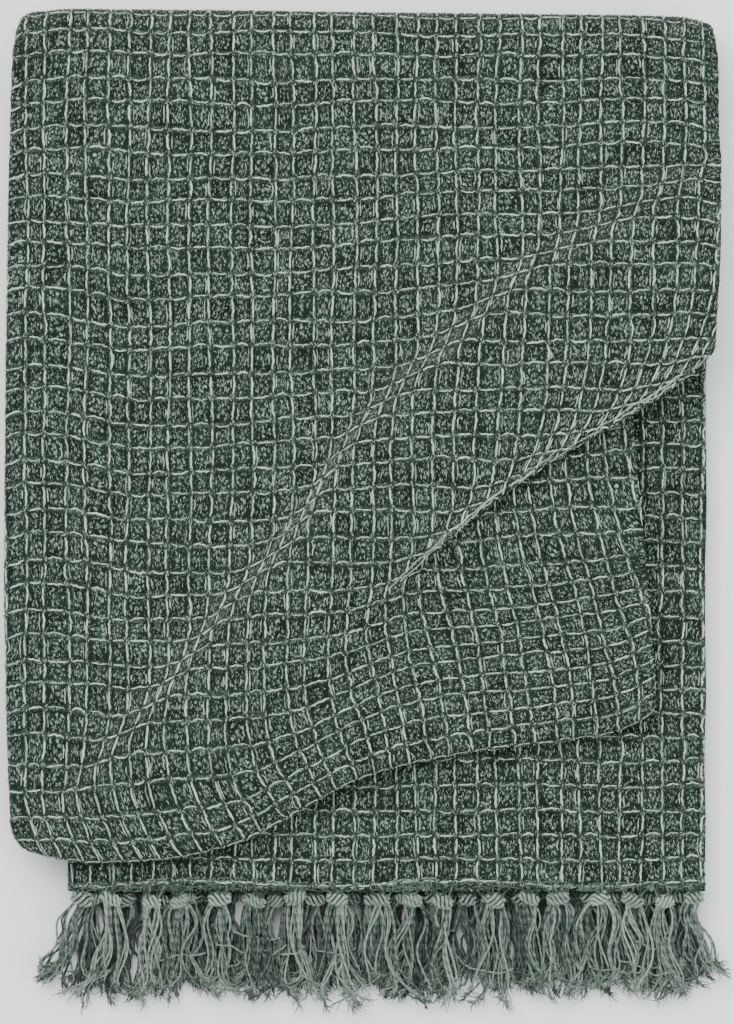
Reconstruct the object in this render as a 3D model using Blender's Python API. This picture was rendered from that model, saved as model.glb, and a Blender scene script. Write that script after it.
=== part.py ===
"""A cotton throw blanket, folded in four across and in four along, with a knotted fringe at each end.

X runs across the folded throw, Y along it and Z up, in metres. The pile is four bands, each of four plies.
From the floor up they are called ground, hem, middle and top. The cloth is one ribbon section, swept along
the fold path: ground, round the outer fold, top, round the lower fold, middle, round the inner fold, hem.
"""

import math
from collections import namedtuple

import bmesh
import bpy
import numpy as np
from mathutils import Matrix

# Driving sizes
PLY = 0.0019
PLY_PITCH = 0.0024
BAND_PITCH = 0.0106
HEM_Y = -0.1865
STRIP_GAP = 0.0003
STRIP_LENGTH = 0.0040

# The tables' zero lies this far to the left of the middle of the outline
MIDDLE_X = 0.0055

# Steps round the folds
SIDE_FOLD_STEPS = 3
OUTER_FOLD_STEPS = 6
LOWER_FOLD_STEPS = 5
INNER_FOLD_STEPS = 4

# The pleat: how far its front leans out over its foot, and which way it faces
PLEAT_FACES = (0.62, -0.785)
PLEAT_RETREAT = 1.12
LEAN = 0.50
LEAN_REACH = 0.040
LIFT_FULL = 0.014

# How much the pile settles towards its corners, how uneven its top is, how far the folds' ends draw in at
# their corners, and how strongly the pull of the pleat is kept to the right edge
CORNER_SETTLE = 0.05
UNEVEN = 0.015
CORNER_INSET = 0.0018
PULL_POWER = 3

HALF_BAND = 1.5 * PLY_PITCH + PLY / 2
BAND_DEPTH = 2 * HALF_BAND
PILE_TOP = 3 * BAND_PITCH + BAND_DEPTH
OUTER_RADIUS = PILE_TOP / 2
LOWER_RADIUS = BAND_PITCH / 2 + HALF_BAND
RIGHT_RADIUS = (PLY_PITCH + PLY) / 2
UPPER_MIDDLE = PILE_TOP - HALF_BAND - BAND_PITCH / 2
LIFT_ENDS_AT = 2 * BAND_PITCH

# Columns across each ply, as shares of the way from its left fold to its right one
COLUMNS = (0.0, 0.03, 0.08, 0.17, 0.29, 0.42, 0.55, 0.68, 0.80, 0.90, 0.975, 1.0)

# The outline and the pleat, read across the folded throw
Across = namedtuple("Across", "x top ridge edge ahead bottom lift")
ACROSS = (
    Across(-0.187, 0.2455, -0.080, -0.108, 0.013, -0.1570, 0.0000),
    Across(-0.178, 0.2495, -0.082, -0.112, 0.013, -0.1625, 0.0006),
    Across(-0.165, 0.2514, -0.083, -0.116, 0.013, -0.1690, 0.0012),
    Across(-0.125, 0.2518, -0.077, -0.119, 0.013, -0.1745, 0.0028),
    Across(-0.090, 0.2515, -0.058, -0.114, 0.012, -0.1708, 0.0045),
    Across(-0.064, 0.2512, -0.034, -0.104, 0.011, -0.1632, 0.0062),
    Across(-0.039, 0.2509, -0.004, -0.089, 0.009, -0.1495, 0.0078),
    Across(-0.010, 0.2505, 0.034, -0.063, 0.006, -0.1335, 0.0098),
    Across(0.011, 0.2503, 0.060, -0.040, 0.0045, -0.1272, 0.0116),
    Across(0.036, 0.2500, 0.085, -0.013, 0.0034, -0.1218, 0.0130),
    Across(0.061, 0.2497, 0.108, 0.008, 0.0030, -0.1183, 0.0136),
    Across(0.091, 0.2494, 0.130, 0.028, 0.0030, -0.1148, 0.0140),
    Across(0.121, 0.2490, 0.148, 0.0460, 0.0030, -0.1090, 0.0140),
    Across(0.139, 0.2486, 0.158, 0.0570, 0.0030, -0.1000, 0.0138),
    Across(0.156, 0.2474, 0.167, 0.0695, 0.0030, -0.0900, 0.0134),
    Across(0.170, 0.2435, 0.174, 0.0820, 0.0030, -0.0850, 0.0128),
)

# The side edges, read along it: of the two upper bands, of their right edge where the pleat has drawn it in,
# and of the two lower bands
Along = namedtuple("Along", "y left right drawn_in under_left under_right")
ALONG = (
    Along(-0.195, -0.1760, 0.1690, 0.1390, -0.1562, 0.1642),
    Along(-0.160, -0.1790, 0.1690, 0.1392, -0.1566, 0.1646),
    Along(-0.125, -0.1840, 0.1690, 0.1390, -0.1580, 0.1640),
    Along(-0.094, -0.1856, 0.1690, 0.1384, -0.1600, 0.1648),
    Along(-0.044, -0.1868, 0.1690, 0.1354, -0.1640, 0.1642),
    Along(0.000, -0.1866, 0.1690, 0.1324, -0.1680, 0.1650),
    Along(0.056, -0.1861, 0.1686, 0.1306, -0.1720, 0.1646),
    Along(0.086, -0.1858, 0.1684, 0.1300, -0.1740, 0.1650),
    Along(0.130, -0.1852, 0.1700, 0.1300, -0.1775, 0.1662),
    Along(0.180, -0.1842, 0.1702, 0.1300, -0.1805, 0.1678),
    Along(0.252, -0.1820, 0.1692, 0.1300, -0.1815, 0.1686),
)

# Stations along the top band, each a share of the way from one guide line to the next: how high the pleat
# lifts the cloth, how far the right edge is drawn in, and how far the lower plies retreat under the pleat
Station = namedtuple("Station", "line share lift drawn retreat")
TOP_STATIONS = (
    Station("start", 0.00, 0.00, 0.00, 0.00),
    Station("start", 0.32, 0.00, 0.00, 0.00),
    Station("start", 0.60, 0.05, 0.00, 0.00),
    Station("start", 0.82, 0.32, 0.00, 0.00),
    Station("ridge", 0.00, 0.72, 0.00, 0.00),
    Station("ridge", 0.45, 0.97, 0.00, 0.20),
    Station("ridge", 0.85, 0.98, 0.00, 0.85),
    Station("edge", 0.00, 0.72, 0.00, 1.00),
    Station("edge", 0.50, 0.37, 0.45, 1.00),
    Station("foot", 0.00, 0.04, 1.00, 1.00),
    Station("foot", 0.14, 0.00, 1.00, 0.60),
    Station("foot", 0.45, 0.00, 1.00, 0.00),
    Station("foot", 0.75, 0.00, 1.00, 0.00),
    Station("end", 0.00, 0.00, 1.00, 0.00),
)

# The middle band lies under the top one and does without two of its stations
SKIPPED_IN_MIDDLE = (1, 12)
MIDDLE_STATIONS = [s for i, s in enumerate(TOP_STATIONS) if i not in SKIPPED_IN_MIDDLE][::-1]
UNDER_SHARES = (1.0, 0.66, 0.33, 0.0)

# The plies of a fringe's strip that carry no knots have only these columns
STRIP_COLUMNS = (0.0, 0.975, 1.0)
ROOT_WIDTH = 0.0046

# The knots of the row that shows: where each is tied, how far its strands lean and how far they reach
Tassel = namedtuple("Tassel", "x lean reach")
SHOWN_TASSELS = (
    Tassel(-0.1488, -0.0180, 0.048),
    Tassel(-0.1347, -0.0075, 0.052),
    Tassel(-0.1138, -0.0025, 0.055),
    Tassel(-0.1000, 0.0010, 0.053),
    Tassel(-0.0798, 0.0005, 0.056),
    Tassel(-0.0622, -0.0010, 0.055),
    Tassel(-0.0418, 0.0015, 0.057),
    Tassel(-0.0208, -0.0010, 0.058),
    Tassel(0.0012, 0.0010, 0.055),
    Tassel(0.0170, -0.0005, 0.058),
    Tassel(0.0322, 0.0010, 0.056),
    Tassel(0.0588, -0.0015, 0.059),
    Tassel(0.0757, 0.0010, 0.056),
    Tassel(0.0902, 0.0015, 0.054),
    Tassel(0.1112, 0.0000, 0.057),
    Tassel(0.1277, 0.0015, 0.053),
    Tassel(0.1440, 0.0040, 0.055),
    Tassel(0.1586, 0.0100, 0.048),
)
HIDDEN_TASSELS = 12
HIDDEN_REACH = 0.049

# A row of tassels: its strands across and its layers, the heights of its knots, of its necks and of its
# strands where they have come to rest, and half the depth of a knot
Row = namedtuple("Row", "across layers knot neck rest half_depth")
SHOWN_ROW = Row(3, 2, 0.0187, 0.0172, 0.0081, 0.0025)
SECOND_ROW = Row(2, 1, 0.0120, 0.0112, 0.0050, 0.0016)
THIRD_ROW = Row(2, 1, 0.0076, 0.0070, 0.0029, 0.0018)
FLOOR_ROW = Row(2, 1, 0.0011, 0.00085, 0.00085, 0.0011)
KNOT_WIDTH = 0.0100
KNOT_STARTS = 0.0022
KNOT_ENDS = 0.0062
NECK_AT = 0.0088
STRAND_WIDTH = 0.0025
STRAND_DEPTH = 0.0017
LAYER_PITCH = 0.0020
COMES_TO_REST = 0.030
BENDS_AT = {2: (0.0215, 0.0360), 1: (0.0340,)}
TAPER = 0.25
FAN = 0.62
FANNED_AT = 0.054
WANDER = 0.0012
WANDER_ALONG = 0.0075
WANDER_ACROSS = 0.017
UNEVEN_REACH = 0.003

# Colour and roughness of the cloth and of the fringes
MATERIALS = {
    "woven_cloth": ((0.072, 0.112, 0.085, 1.0), 0.92),
    "upper_fringe": ((0.150, 0.205, 0.160, 1.0), 0.90),
    "lower_fringe": ((0.110, 0.160, 0.122, 1.0), 0.90),
}


def column(rows, key, value):
    """Returns a smooth function through one column of a table, read against another."""
    xs = np.array([getattr(row, key) for row in rows])
    ys = np.array([getattr(row, value) for row in rows])
    slopes = np.gradient(ys, xs)

    def read(at):
        at = np.clip(at, xs[0], xs[-1])
        i = np.clip(np.searchsorted(xs, at) - 1, 0, len(xs) - 2)
        step = xs[i + 1] - xs[i]
        t = (at - xs[i]) / step
        rise = ys[i + 1] - ys[i]
        bend_in = slopes[i] * step - rise
        bend_out = rise - slopes[i + 1] * step
        return ys[i] + t * rise + t * (1 - t) * ((1 - t) * bend_in + t * bend_out)

    return read


top_y = column(ACROSS, "x", "top")
ridge_y = column(ACROSS, "x", "ridge")
edge_y = column(ACROSS, "x", "edge")
bottom_y = column(ACROSS, "x", "bottom")
foot_ahead = column(ACROSS, "x", "ahead")
pleat_lift = column(ACROSS, "x", "lift")
left_x = column(ALONG, "y", "left")
right_x = column(ALONG, "y", "right")
drawn_in_x = column(ALONG, "y", "drawn_in")
under_left_x = column(ALONG, "y", "under_left")
under_right_x = column(ALONG, "y", "under_right")


def start_y(x):
    return top_y(x) - OUTER_RADIUS


def foot_y(x):
    return edge_y(x) - foot_ahead(x)


def end_y(x):
    return bottom_y(x) + LOWER_RADIUS


GUIDES = {
    "start": (start_y, ridge_y),
    "ridge": (ridge_y, edge_y),
    "edge": (edge_y, foot_y),
    "foot": (foot_y, end_y),
    "end": (end_y, bottom_y),
}


def guide_y(station, x):
    near, far = GUIDES[station.line]
    return near(x) + station.share * (far(x) - near(x))


def settled(x, y, z):
    """Lets the pile sink a little towards its corners and makes it uneven. The floor stays level."""
    across = np.abs(x) / 0.18
    along = np.abs(y - 0.03) / 0.22
    corner = np.clip(across * along, 0, 1) ** 2
    waves = np.sin(23 * x + 0.7) * np.cos(17 * y - 0.4) + 0.5 * np.sin(41 * y + 31 * x)
    return z * (1 - CORNER_SETTLE * corner + UNEVEN * waves)


class Section:
    """The four plies of a band as one folded ribbon: shares of the width, reaches past it, depths and sides."""

    def __init__(self, top=COLUMNS, lowest=COLUMNS[:-1], between=COLUMNS):
        self.share, self.reach, self.depth, self.out_x, self.out_d = [], [], [], [], []
        self.ply(reversed(lowest), -1.5, -1)
        self.fold(0.0, 0.0, 1.5, -90, -270, 1)
        self.top_start = len(self.share)
        self.ply(top, 1.5, 1)
        self.fold(1.0, 1.0, 0.5, 90, -90, 1)
        self.ply(reversed(between), 0.5, -1)
        self.fold(0.0, 0.0, 0.5, 90, 270, -1)
        self.ply(between[:-1], -0.5, 1)
        for name in ("share", "reach", "depth", "out_x", "out_d"):
            setattr(self, name, np.array(getattr(self, name)))
        self.count = len(self.share)

    def add(self, share, reach, depth, out_x, out_d):
        self.share.append(share)
        self.reach.append(reach)
        self.depth.append(depth)
        self.out_x.append(out_x)
        self.out_d.append(out_d)

    def ply(self, shares, height, side):
        for share in shares:
            self.add(share, 0.0, height * PLY_PITCH, 0.0, side)

    def fold(self, share, centre, radius, first, last, side):
        """The points between the ends of a side fold. Its centre and radius are in ply pitches."""
        for step in range(1, SIDE_FOLD_STEPS):
            turn = math.radians(first + (last - first) * step / SIDE_FOLD_STEPS)
            reach = radius * PLY_PITCH * math.cos(turn)
            depth = (centre + radius * math.sin(turn)) * PLY_PITCH
            self.add(share, reach, depth, side * math.cos(turn), side * math.sin(turn))

    def sides(self):
        """For each step along the ribbon, 1 where it runs to the right or up and -1 where it runs back."""
        across = np.diff(self.share)
        return np.sign(np.where(across == 0, np.diff(self.depth), across))

    def faces(self, left, right, pull=0.0):
        """X and depth of the ribbon's two faces, its outer one first. The pull moves the right edge most."""
        near = left + HALF_BAND
        far = right - RIGHT_RADIUS
        for half in (PLY / 2, -PLY / 2):
            x = near + self.share * (far - near) + self.reach + half * self.out_x
            yield x + self.share**PULL_POWER * pull, self.depth + half * self.out_d


def lean_out(x, y, z):
    """Leans the pleat's front over its foot, more the higher it stands."""
    ahead = (edge_y(x) - y) * -PLEAT_FACES[1]
    near = 1 / (1 + (ahead / LEAN_REACH) ** 2)
    height = np.clip(z, PILE_TOP - BAND_DEPTH, PILE_TOP + 0.7 * LIFT_FULL) - (PILE_TOP + 0.7 * LIFT_FULL)
    shift = LEAN * height * near * pleat_lift(x) / LIFT_FULL
    return x + PLEAT_FACES[0] * shift, y + PLEAT_FACES[1] * shift, z


def upper_point(section, station, band):
    """The ribbon's two faces at a station of the top band (0) or the middle one (1)."""
    ring = []
    for face in (0, 1):
        y = np.full(section.count, 0.0)
        for _ in range(5):
            pull = station.drawn * (drawn_in_x(y) - right_x(y))
            x, depth = list(section.faces(left_x(y), right_x(y), pull))[face]
            y = guide_y(station, x)
        below = HALF_BAND - depth if band == 0 else BAND_PITCH + HALF_BAND + depth
        raised = pleat_lift(x) * station.lift * np.clip(1 - below / LIFT_ENDS_AT, 0, 1)
        away = PLEAT_RETREAT * station.retreat * below * pleat_lift(x) / LIFT_FULL
        z = PILE_TOP - below + raised
        ring.append(lean_out(x - away * PLEAT_FACES[0], y - away * PLEAT_FACES[1], z))
    return ring


def under_point(section, share, band):
    """The ribbon's two faces in the hem band (2) or the ground one (3), from the hem (0) to the folds (1)."""
    ring = []
    for face in (0, 1):
        y = np.full(section.count, HEM_Y)
        for _ in range(4):
            x, depth = list(section.faces(under_left_x(y), under_right_x(y)))[face]
            y = HEM_Y + share * (start_y(x) - HEM_Y)
        below = band * BAND_PITCH + (HALF_BAND - depth if band == 2 else HALF_BAND + depth)
        ring.append((x, y, PILE_TOP - below))
    return ring


def fold_rings(section, steps, radius, height, line, edges, way, corner_inset=CORNER_INSET):
    """Rings between the ends of a fold across the throw. It climbs where the way is 1, or else sinks."""
    first, last = (0.0, math.pi) if way > 0 else (math.pi, 0.0)
    for step in range(1, steps):
        share = step / steps
        angle = first + (last - first) * share
        inset = corner_inset * math.sin(angle)
        left, right = [near + share * (away - near) for near, away in zip(*edges)]
        ring = []
        for x, depth in section.faces(left + inset, right - inset):
            reach = radius(depth)
            ring.append((x, line(x) + reach * math.sin(angle), height - reach * math.cos(angle)))
        yield ring


def sweep_rings(section):
    """Every ring of the ribbon in order, with the way it is creased: 1 up to the lower fold, then -1."""
    far = top_y(0.0) - OUTER_RADIUS
    low = bottom_y(0.0)
    upper = (left_x(far), right_x(far))
    under = (under_left_x(far), under_right_x(far))
    drawn = (left_x(low), drawn_in_x(low))

    for share in reversed(UNDER_SHARES):
        yield 1, under_point(section, share, 3)
    outer = (lambda depth: OUTER_RADIUS - HALF_BAND + depth, PILE_TOP / 2, start_y, (under, upper), 1)
    for ring in fold_rings(section, OUTER_FOLD_STEPS, *outer):
        yield 1, ring
    for station in TOP_STATIONS:
        yield 1, upper_point(section, station, 0)
    lower = (lambda depth: LOWER_RADIUS - HALF_BAND + depth, UPPER_MIDDLE, end_y, (drawn, drawn), -1)
    for ring in fold_rings(section, LOWER_FOLD_STEPS, *lower):
        yield 1, [(x, 2 * end_y(x) - y, z) for x, y, z in ring]
    for station in MIDDLE_STATIONS:
        yield -1, upper_point(section, station, 1)
    inner = (lambda depth: LOWER_RADIUS - HALF_BAND - depth, PILE_TOP / 2, start_y, (upper, under), -1, 0.0)
    for ring in fold_rings(section, INNER_FOLD_STEPS, *inner):
        yield -1, ring
    for share in UNDER_SHARES:
        yield -1, under_point(section, share, 2)


def split_panel(mesh, panel, along):
    """Adds a four-cornered panel as two triangles, so that every ply is creased the same way."""
    a, b, c, d = panel
    halves = ((a, b, c), (a, c, d)) if along else ((a, b, d), (b, c, d))
    for half in halves:
        mesh.faces.new(half)


def ribbon_mesh(section, rings, tassels=None):
    """Joins the rings, each an outer and an inner row of points and a way, into one closed solid.

    Each of the tassels, listed by its step along the ribbon, grows from that step's panel on the last ring.
    """
    tassels = tassels or {}
    mesh = bmesh.new()
    rows = []
    for way, ring in rings:
        outer, inner = [
            [mesh.verts.new(point) for point in np.column_stack((x, y, settled(x, y, z)))] for x, y, z in ring
        ]
        rows.append((way, outer, inner))
    last = section.count - 1
    sides = section.sides()
    for (way, outer, inner), (_, next_outer, next_inner) in zip(rows, rows[1:]):
        for i in range(last):
            along = sides[i] * way < 0
            split_panel(mesh, (outer[i], next_outer[i], next_outer[i + 1], outer[i + 1]), along)
            split_panel(mesh, (inner[i], next_inner[i], next_inner[i + 1], inner[i + 1]), along)
        mesh.faces.new((inner[0], next_inner[0], next_outer[0], outer[0]))
        mesh.faces.new((outer[last], next_outer[last], next_inner[last], inner[last]))
    for grows, (_, outer, inner) in ((False, rows[0]), (True, rows[-1])):
        for i in range(last):
            panel = (outer[i], outer[i + 1], inner[i + 1], inner[i])
            if grows and i in tassels:
                add_tassel(mesh, panel, *tassels[i])
            else:
                mesh.faces.new(panel)
    return mesh


def placed(mesh, x, y, z):
    return mesh.verts.new((x, y, settled(x, y, z)))


def knot_ring(mesh, row, x, y, z, half_width, half_depth, at_neck=False):
    """A rounded ring of a knot as rows of points from left to right, the upper row first."""
    count = row.layers + 1 if at_neck else 2
    rows = []
    for level in np.linspace(1, -1, count):
        points = []
        for side in np.linspace(-1, 1, row.across + 1):
            round_off = 1 - 0.35 * side * side if level else 1
            points.append(placed(mesh, x + half_width * side, y, z + half_depth * level * round_off))
        rows.append(points)
    return rows


def outline(rows):
    """The four sides of a ring's rows of points, clockwise from the upper one."""
    right = [points[-1] for points in rows]
    left = [points[0] for points in reversed(rows)]
    return rows[0], right, rows[-1][::-1], left


def bridge(mesh, near_rows, far_rows):
    """Joins two rings side by side, panel by panel where both have the same points on a side."""
    for near, far in zip(outline(near_rows), outline(far_rows)):
        if len(near) == len(far):
            for i in range(len(near) - 1):
                mesh.faces.new((near[i], far[i], far[i + 1], near[i + 1]))
        else:
            mesh.faces.new((*near[::-1], *far))


def add_strand(mesh, cell, outs, strip_y, path_x, heights):
    """Draws a four-sided strand out of a neck's cell, with a bend at each way out from the strip."""
    neck_z, rest_z = heights
    previous = cell
    for out in outs:
        along = (out - NECK_AT) / (FANNED_AT - NECK_AT)
        fallen = min((out - NECK_AT) / COMES_TO_REST, 1.0)
        z = neck_z + (rest_z - neck_z) * fallen**2 * (3 - 2 * fallen)
        taper = 1 - TAPER * along
        half_width = STRAND_WIDTH / 2 * taper
        half_depth = STRAND_DEPTH / 2 * (1 if rest_z < STRAND_DEPTH else taper)
        x, y = path_x(out, along), strip_y - out
        ring = []
        for side, level in ((-1, 1), (1, 1), (1, -1), (-1, -1)):
            ring.append(placed(mesh, x + side * half_width, y, z + level * half_depth))
        for i in range(4):
            following = (i + 1) % 4
            mesh.faces.new((previous[i], ring[i], ring[following], previous[following]))
        previous = ring
    mesh.faces.new(previous)


def add_tassel(mesh, panel, row, tassel, room):
    """Ties a knot on a panel of the strip's edge and fans its strands out and down, in order across the row."""
    by_height = sorted(panel, key=lambda corner: -corner.co.z)
    root = [sorted(pair, key=lambda corner: corner.co.x) for pair in (by_height[:2], by_height[2:])]
    strip_y = root[0][0].co.y
    sizes = (
        (KNOT_STARTS, row.knot, KNOT_WIDTH / 2, row.half_depth),
        (KNOT_ENDS, row.knot, KNOT_WIDTH / 2 * 0.96, row.half_depth),
    )
    previous = root
    for out, z, half_width, half_depth in sizes:
        ring = knot_ring(mesh, row, tassel.x, strip_y - out, z, half_width, half_depth)
        bridge(mesh, previous, ring)
        previous = ring
    half_neck = KNOT_WIDTH * 0.32
    neck_depth = STRAND_DEPTH / 2 * (1.1 * row.layers if row.rest > STRAND_DEPTH else 1)
    neck = knot_ring(mesh, row, tassel.x, strip_y - NECK_AT, row.neck, half_neck, neck_depth, at_neck=True)
    bridge(mesh, previous, neck)
    for layer in range(row.layers):
        level = (row.layers - 1) / 2 - layer
        heights = (row.neck + 2 * neck_depth / row.layers * level, row.rest + LAYER_PITCH * level)
        for j in range(row.across):
            place = 2 * j - row.across + 1
            side = place / max(row.across - 1, 1)
            start_x = tassel.x + half_neck * place / row.across
            tip_x = tassel.x + tassel.lean + FAN * side * room[0 if side < 0 else 1]

            def path_x(out, along):
                x = start_x + (tip_x - start_x) * along**1.15
                return x + WANDER * along * math.sin(out / WANDER_ALONG + x / WANDER_ACROSS)

            uneven = math.sin(1.7 * (1000 * tassel.x + 7 * j + 13 * layer))
            outs = (*BENDS_AT[row.layers], tassel.reach + UNEVEN_REACH * (uneven - 1))
            cell = (neck[layer][j], neck[layer][j + 1], neck[layer + 1][j + 1], neck[layer + 1][j])
            add_strand(mesh, cell, outs, strip_y, path_x, heights)


def material_of(name):
    colour, roughness = MATERIALS[name]
    material = bpy.data.materials.new(name)
    material.use_nodes = True
    shader = material.node_tree.nodes["Principled BSDF"]
    shader.inputs["Base Color"].default_value = colour
    shader.inputs["Roughness"].default_value = roughness
    material.diffuse_color = colour
    return material


def add_object(name, mesh):
    """Closes a bmesh into a named object with its own material."""
    bmesh.ops.recalc_face_normals(mesh, faces=mesh.faces[:])
    data = bpy.data.meshes.new(name)
    mesh.to_mesh(data)
    mesh.free()
    data.transform(Matrix.Translation((MIDDLE_X, 0, 0)))
    data.shade_smooth()
    data.set_sharp_from_angle(angle=math.radians(50))
    data.materials.append(material_of(name))
    solid = bpy.data.objects.new(name, data)
    bpy.context.collection.objects.link(solid)
    return solid


def add_cloth():
    section = Section()
    return add_object("woven_cloth", ribbon_mesh(section, sweep_rings(section)))


def rooms_of(tassels):
    """Half the way from each tassel to its neighbour on the left and on the right."""
    xs = [tassel.x + tassel.lean for tassel in tassels]
    gaps = [xs[1] - xs[0], *np.diff(xs), xs[-1] - xs[-2]]
    return [(gaps[i] / 2, gaps[i + 1] / 2) for i in range(len(xs))]


def hidden_tassels(left, right):
    """An even row of tassels for a ply that doesn't show."""
    step = (right - left) / HIDDEN_TASSELS
    tassels = []
    for i in range(HIDDEN_TASSELS):
        x = left + (i + 0.5) * step
        tassels.append(Tassel(x, 0.004 * x / right, HIDDEN_REACH + 0.003 * math.sin(2.3 * i)))
    return tassels


def fringe(band, top_row, top_tassels, lowest_row, lowest_tassels):
    """A strip past the hem, folded as the band is, with a row of tassels on its top ply and on its lowest."""
    left = under_left_x(HEM_Y)
    right = under_right_x(HEM_Y)
    near = left + HALF_BAND
    width = right - RIGHT_RADIUS - near

    def columns(tassels, end):
        roots = [tassel.x + side * ROOT_WIDTH / 2 for tassel in tassels for side in (-1, 1)]
        return [0.0, *((x - near) / width for x in roots), end]

    section = Section(columns(top_tassels, 1.0), columns(lowest_tassels, STRIP_COLUMNS[1]), STRIP_COLUMNS)
    grown = {}
    for i, (tassel, room) in enumerate(zip(top_tassels, rooms_of(top_tassels))):
        grown[section.top_start + 1 + 2 * i] = (top_row, tassel, room)
    for i, (tassel, room) in enumerate(zip(lowest_tassels, rooms_of(lowest_tassels))):
        grown[1 + 2 * (len(lowest_tassels) - 1 - i)] = (lowest_row, tassel, room)
    rings = []
    for y in (HEM_Y - STRIP_GAP, HEM_Y - STRIP_GAP - STRIP_LENGTH):
        ring = []
        for x, depth in section.faces(left, right):
            below = band * BAND_PITCH + (HALF_BAND - depth if band == 2 else HALF_BAND + depth)
            ring.append((x, np.full(section.count, y), PILE_TOP - below))
        rings.append((1, ring))
    return ribbon_mesh(section, rings, grown)


def add_fringes():
    left = under_left_x(HEM_Y) + HALF_BAND + KNOT_WIDTH / 2
    right = under_right_x(HEM_Y) - KNOT_WIDTH
    hidden = hidden_tassels(left, right)
    add_object("upper_fringe", fringe(2, SHOWN_ROW, SHOWN_TASSELS, SECOND_ROW, hidden))
    add_object("lower_fringe", fringe(3, FLOOR_ROW, hidden, THIRD_ROW, hidden))


def clear_scene():
    for old in list(bpy.data.objects):
        bpy.data.objects.remove(old, do_unlink=True)


def main():
    clear_scene()
    add_cloth()
    add_fringes()


if __name__ == "__main__":
    main()
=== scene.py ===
"""Looks of the folded throw: its honeycomb weave, its raised yarns and its knotted fringes.

X runs across the folded throw, Y along it and Z up, in metres. The cloth is one ribbon section of four
plies, swept along the fold path, as in the solid that it stands for. Every point of the cloth has a place
in the weave: P counts cells across the cloth and Q counts cells along it. The raised yarns are laid out
in P and Q.
"""

import math
import random
from collections import namedtuple

import bmesh
import bpy
import numpy as np
from mathutils import Matrix, Vector
from mathutils.bvhtree import BVHTree


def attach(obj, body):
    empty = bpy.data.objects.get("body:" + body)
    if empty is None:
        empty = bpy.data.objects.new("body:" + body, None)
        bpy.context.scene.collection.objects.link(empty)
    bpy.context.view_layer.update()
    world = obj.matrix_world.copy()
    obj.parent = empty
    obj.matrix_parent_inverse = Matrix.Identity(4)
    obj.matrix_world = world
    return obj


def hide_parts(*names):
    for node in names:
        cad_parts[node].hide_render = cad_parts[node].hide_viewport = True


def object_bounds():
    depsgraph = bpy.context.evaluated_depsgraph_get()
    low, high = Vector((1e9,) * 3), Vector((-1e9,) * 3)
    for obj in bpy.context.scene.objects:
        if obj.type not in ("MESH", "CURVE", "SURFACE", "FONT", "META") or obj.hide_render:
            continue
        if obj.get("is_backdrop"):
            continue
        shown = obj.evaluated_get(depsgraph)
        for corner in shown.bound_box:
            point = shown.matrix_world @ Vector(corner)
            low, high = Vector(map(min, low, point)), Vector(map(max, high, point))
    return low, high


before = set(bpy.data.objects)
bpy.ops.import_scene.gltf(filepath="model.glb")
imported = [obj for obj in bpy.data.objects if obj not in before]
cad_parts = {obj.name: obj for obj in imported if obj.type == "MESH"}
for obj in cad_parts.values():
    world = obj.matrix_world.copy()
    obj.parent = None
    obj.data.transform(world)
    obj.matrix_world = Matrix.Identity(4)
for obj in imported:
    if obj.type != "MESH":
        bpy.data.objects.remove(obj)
CAD_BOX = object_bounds()

bl_info = {
    "name": "Folded Throw",
    "version": (1, 0, 0),
    "blender": (4, 5, 0),
    "location": "3D View > Sidebar > Folded Throw",
    "description": "Builds a folded cotton throw with a honeycomb weave, a soft pleat and knotted fringes",
    "category": "Add Mesh",
}

# Sizes of the folded cloth, the same as the solid's
PLY = 0.0019
PLY_PITCH = 0.0024
BAND_PITCH = 0.0106
HEM_Y = -0.1865
STRIP = 0.0043
MIDDLE_X = 0.0055
PLEAT_FACES = (0.62, -0.785)
PLEAT_RETREAT = 1.12
LEAN = 0.50
LEAN_REACH = 0.040
LIFT_FULL = 0.014
CORNER_SETTLE = 0.05
UNEVEN = 0.015
CORNER_INSET = 0.0018
PULL_POWER = 3

HALF_BAND = 1.5 * PLY_PITCH + PLY / 2
BAND_DEPTH = 2 * HALF_BAND
PILE_TOP = 3 * BAND_PITCH + BAND_DEPTH
OUTER_RADIUS = PILE_TOP / 2
LOWER_RADIUS = BAND_PITCH / 2 + HALF_BAND
RIGHT_RADIUS = (PLY_PITCH + PLY) / 2
UPPER_MIDDLE = PILE_TOP - HALF_BAND - BAND_PITCH / 2
LIFT_ENDS_AT = 2 * BAND_PITCH
LEFT_REACH = -0.187
RIGHT_REACH = 0.170


def table(fields, *rows):
    """Rows of numbers as named tuples."""
    kind = namedtuple("Row", fields)
    return [kind(*row) for row in rows]


# The sharp crease that runs across the top: where it lies, how high it stands, how much cloth it
# squeezes in, how wide it and its squeeze are, and which way it faces
CREST = table(
    "x y height squeeze",
    (-0.187, -0.1640, 0.0000, 0.0000),
    (-0.160, -0.1440, 0.0008, 0.0050),
    (-0.134, -0.1168, 0.0022, 0.0135),
    (-0.104, -0.0843, 0.0030, 0.0165),
    (-0.074, -0.0443, 0.0035, 0.0175),
    (-0.039, -0.0043, 0.0038, 0.0178),
    (-0.014, 0.0380, 0.0040, 0.0165),
    (0.011, 0.0633, 0.0040, 0.0165),
    (0.036, 0.0858, 0.0038, 0.0150),
    (0.061, 0.1108, 0.0032, 0.0120),
    (0.091, 0.1308, 0.0026, 0.0095),
    (0.136, 0.1558, 0.0018, 0.0065),
    (0.170, 0.1740, 0.0012, 0.0045),
)
CREST_WIDTH = 0.0074
SQUEEZE_WIDTH = 0.0060
CREST_FACES = (0.66, -0.75)

# The pleat's rolled edge squeezes cloth in too: how much, how far behind the edge and over what width
EDGE_SQUEEZE = 0.0110
EDGE_BAND = 0.0055
EDGE_WIDTH = 0.0044

# How sharply the crease and the edge take cloth in
TAKE_UP = 2.6

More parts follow.
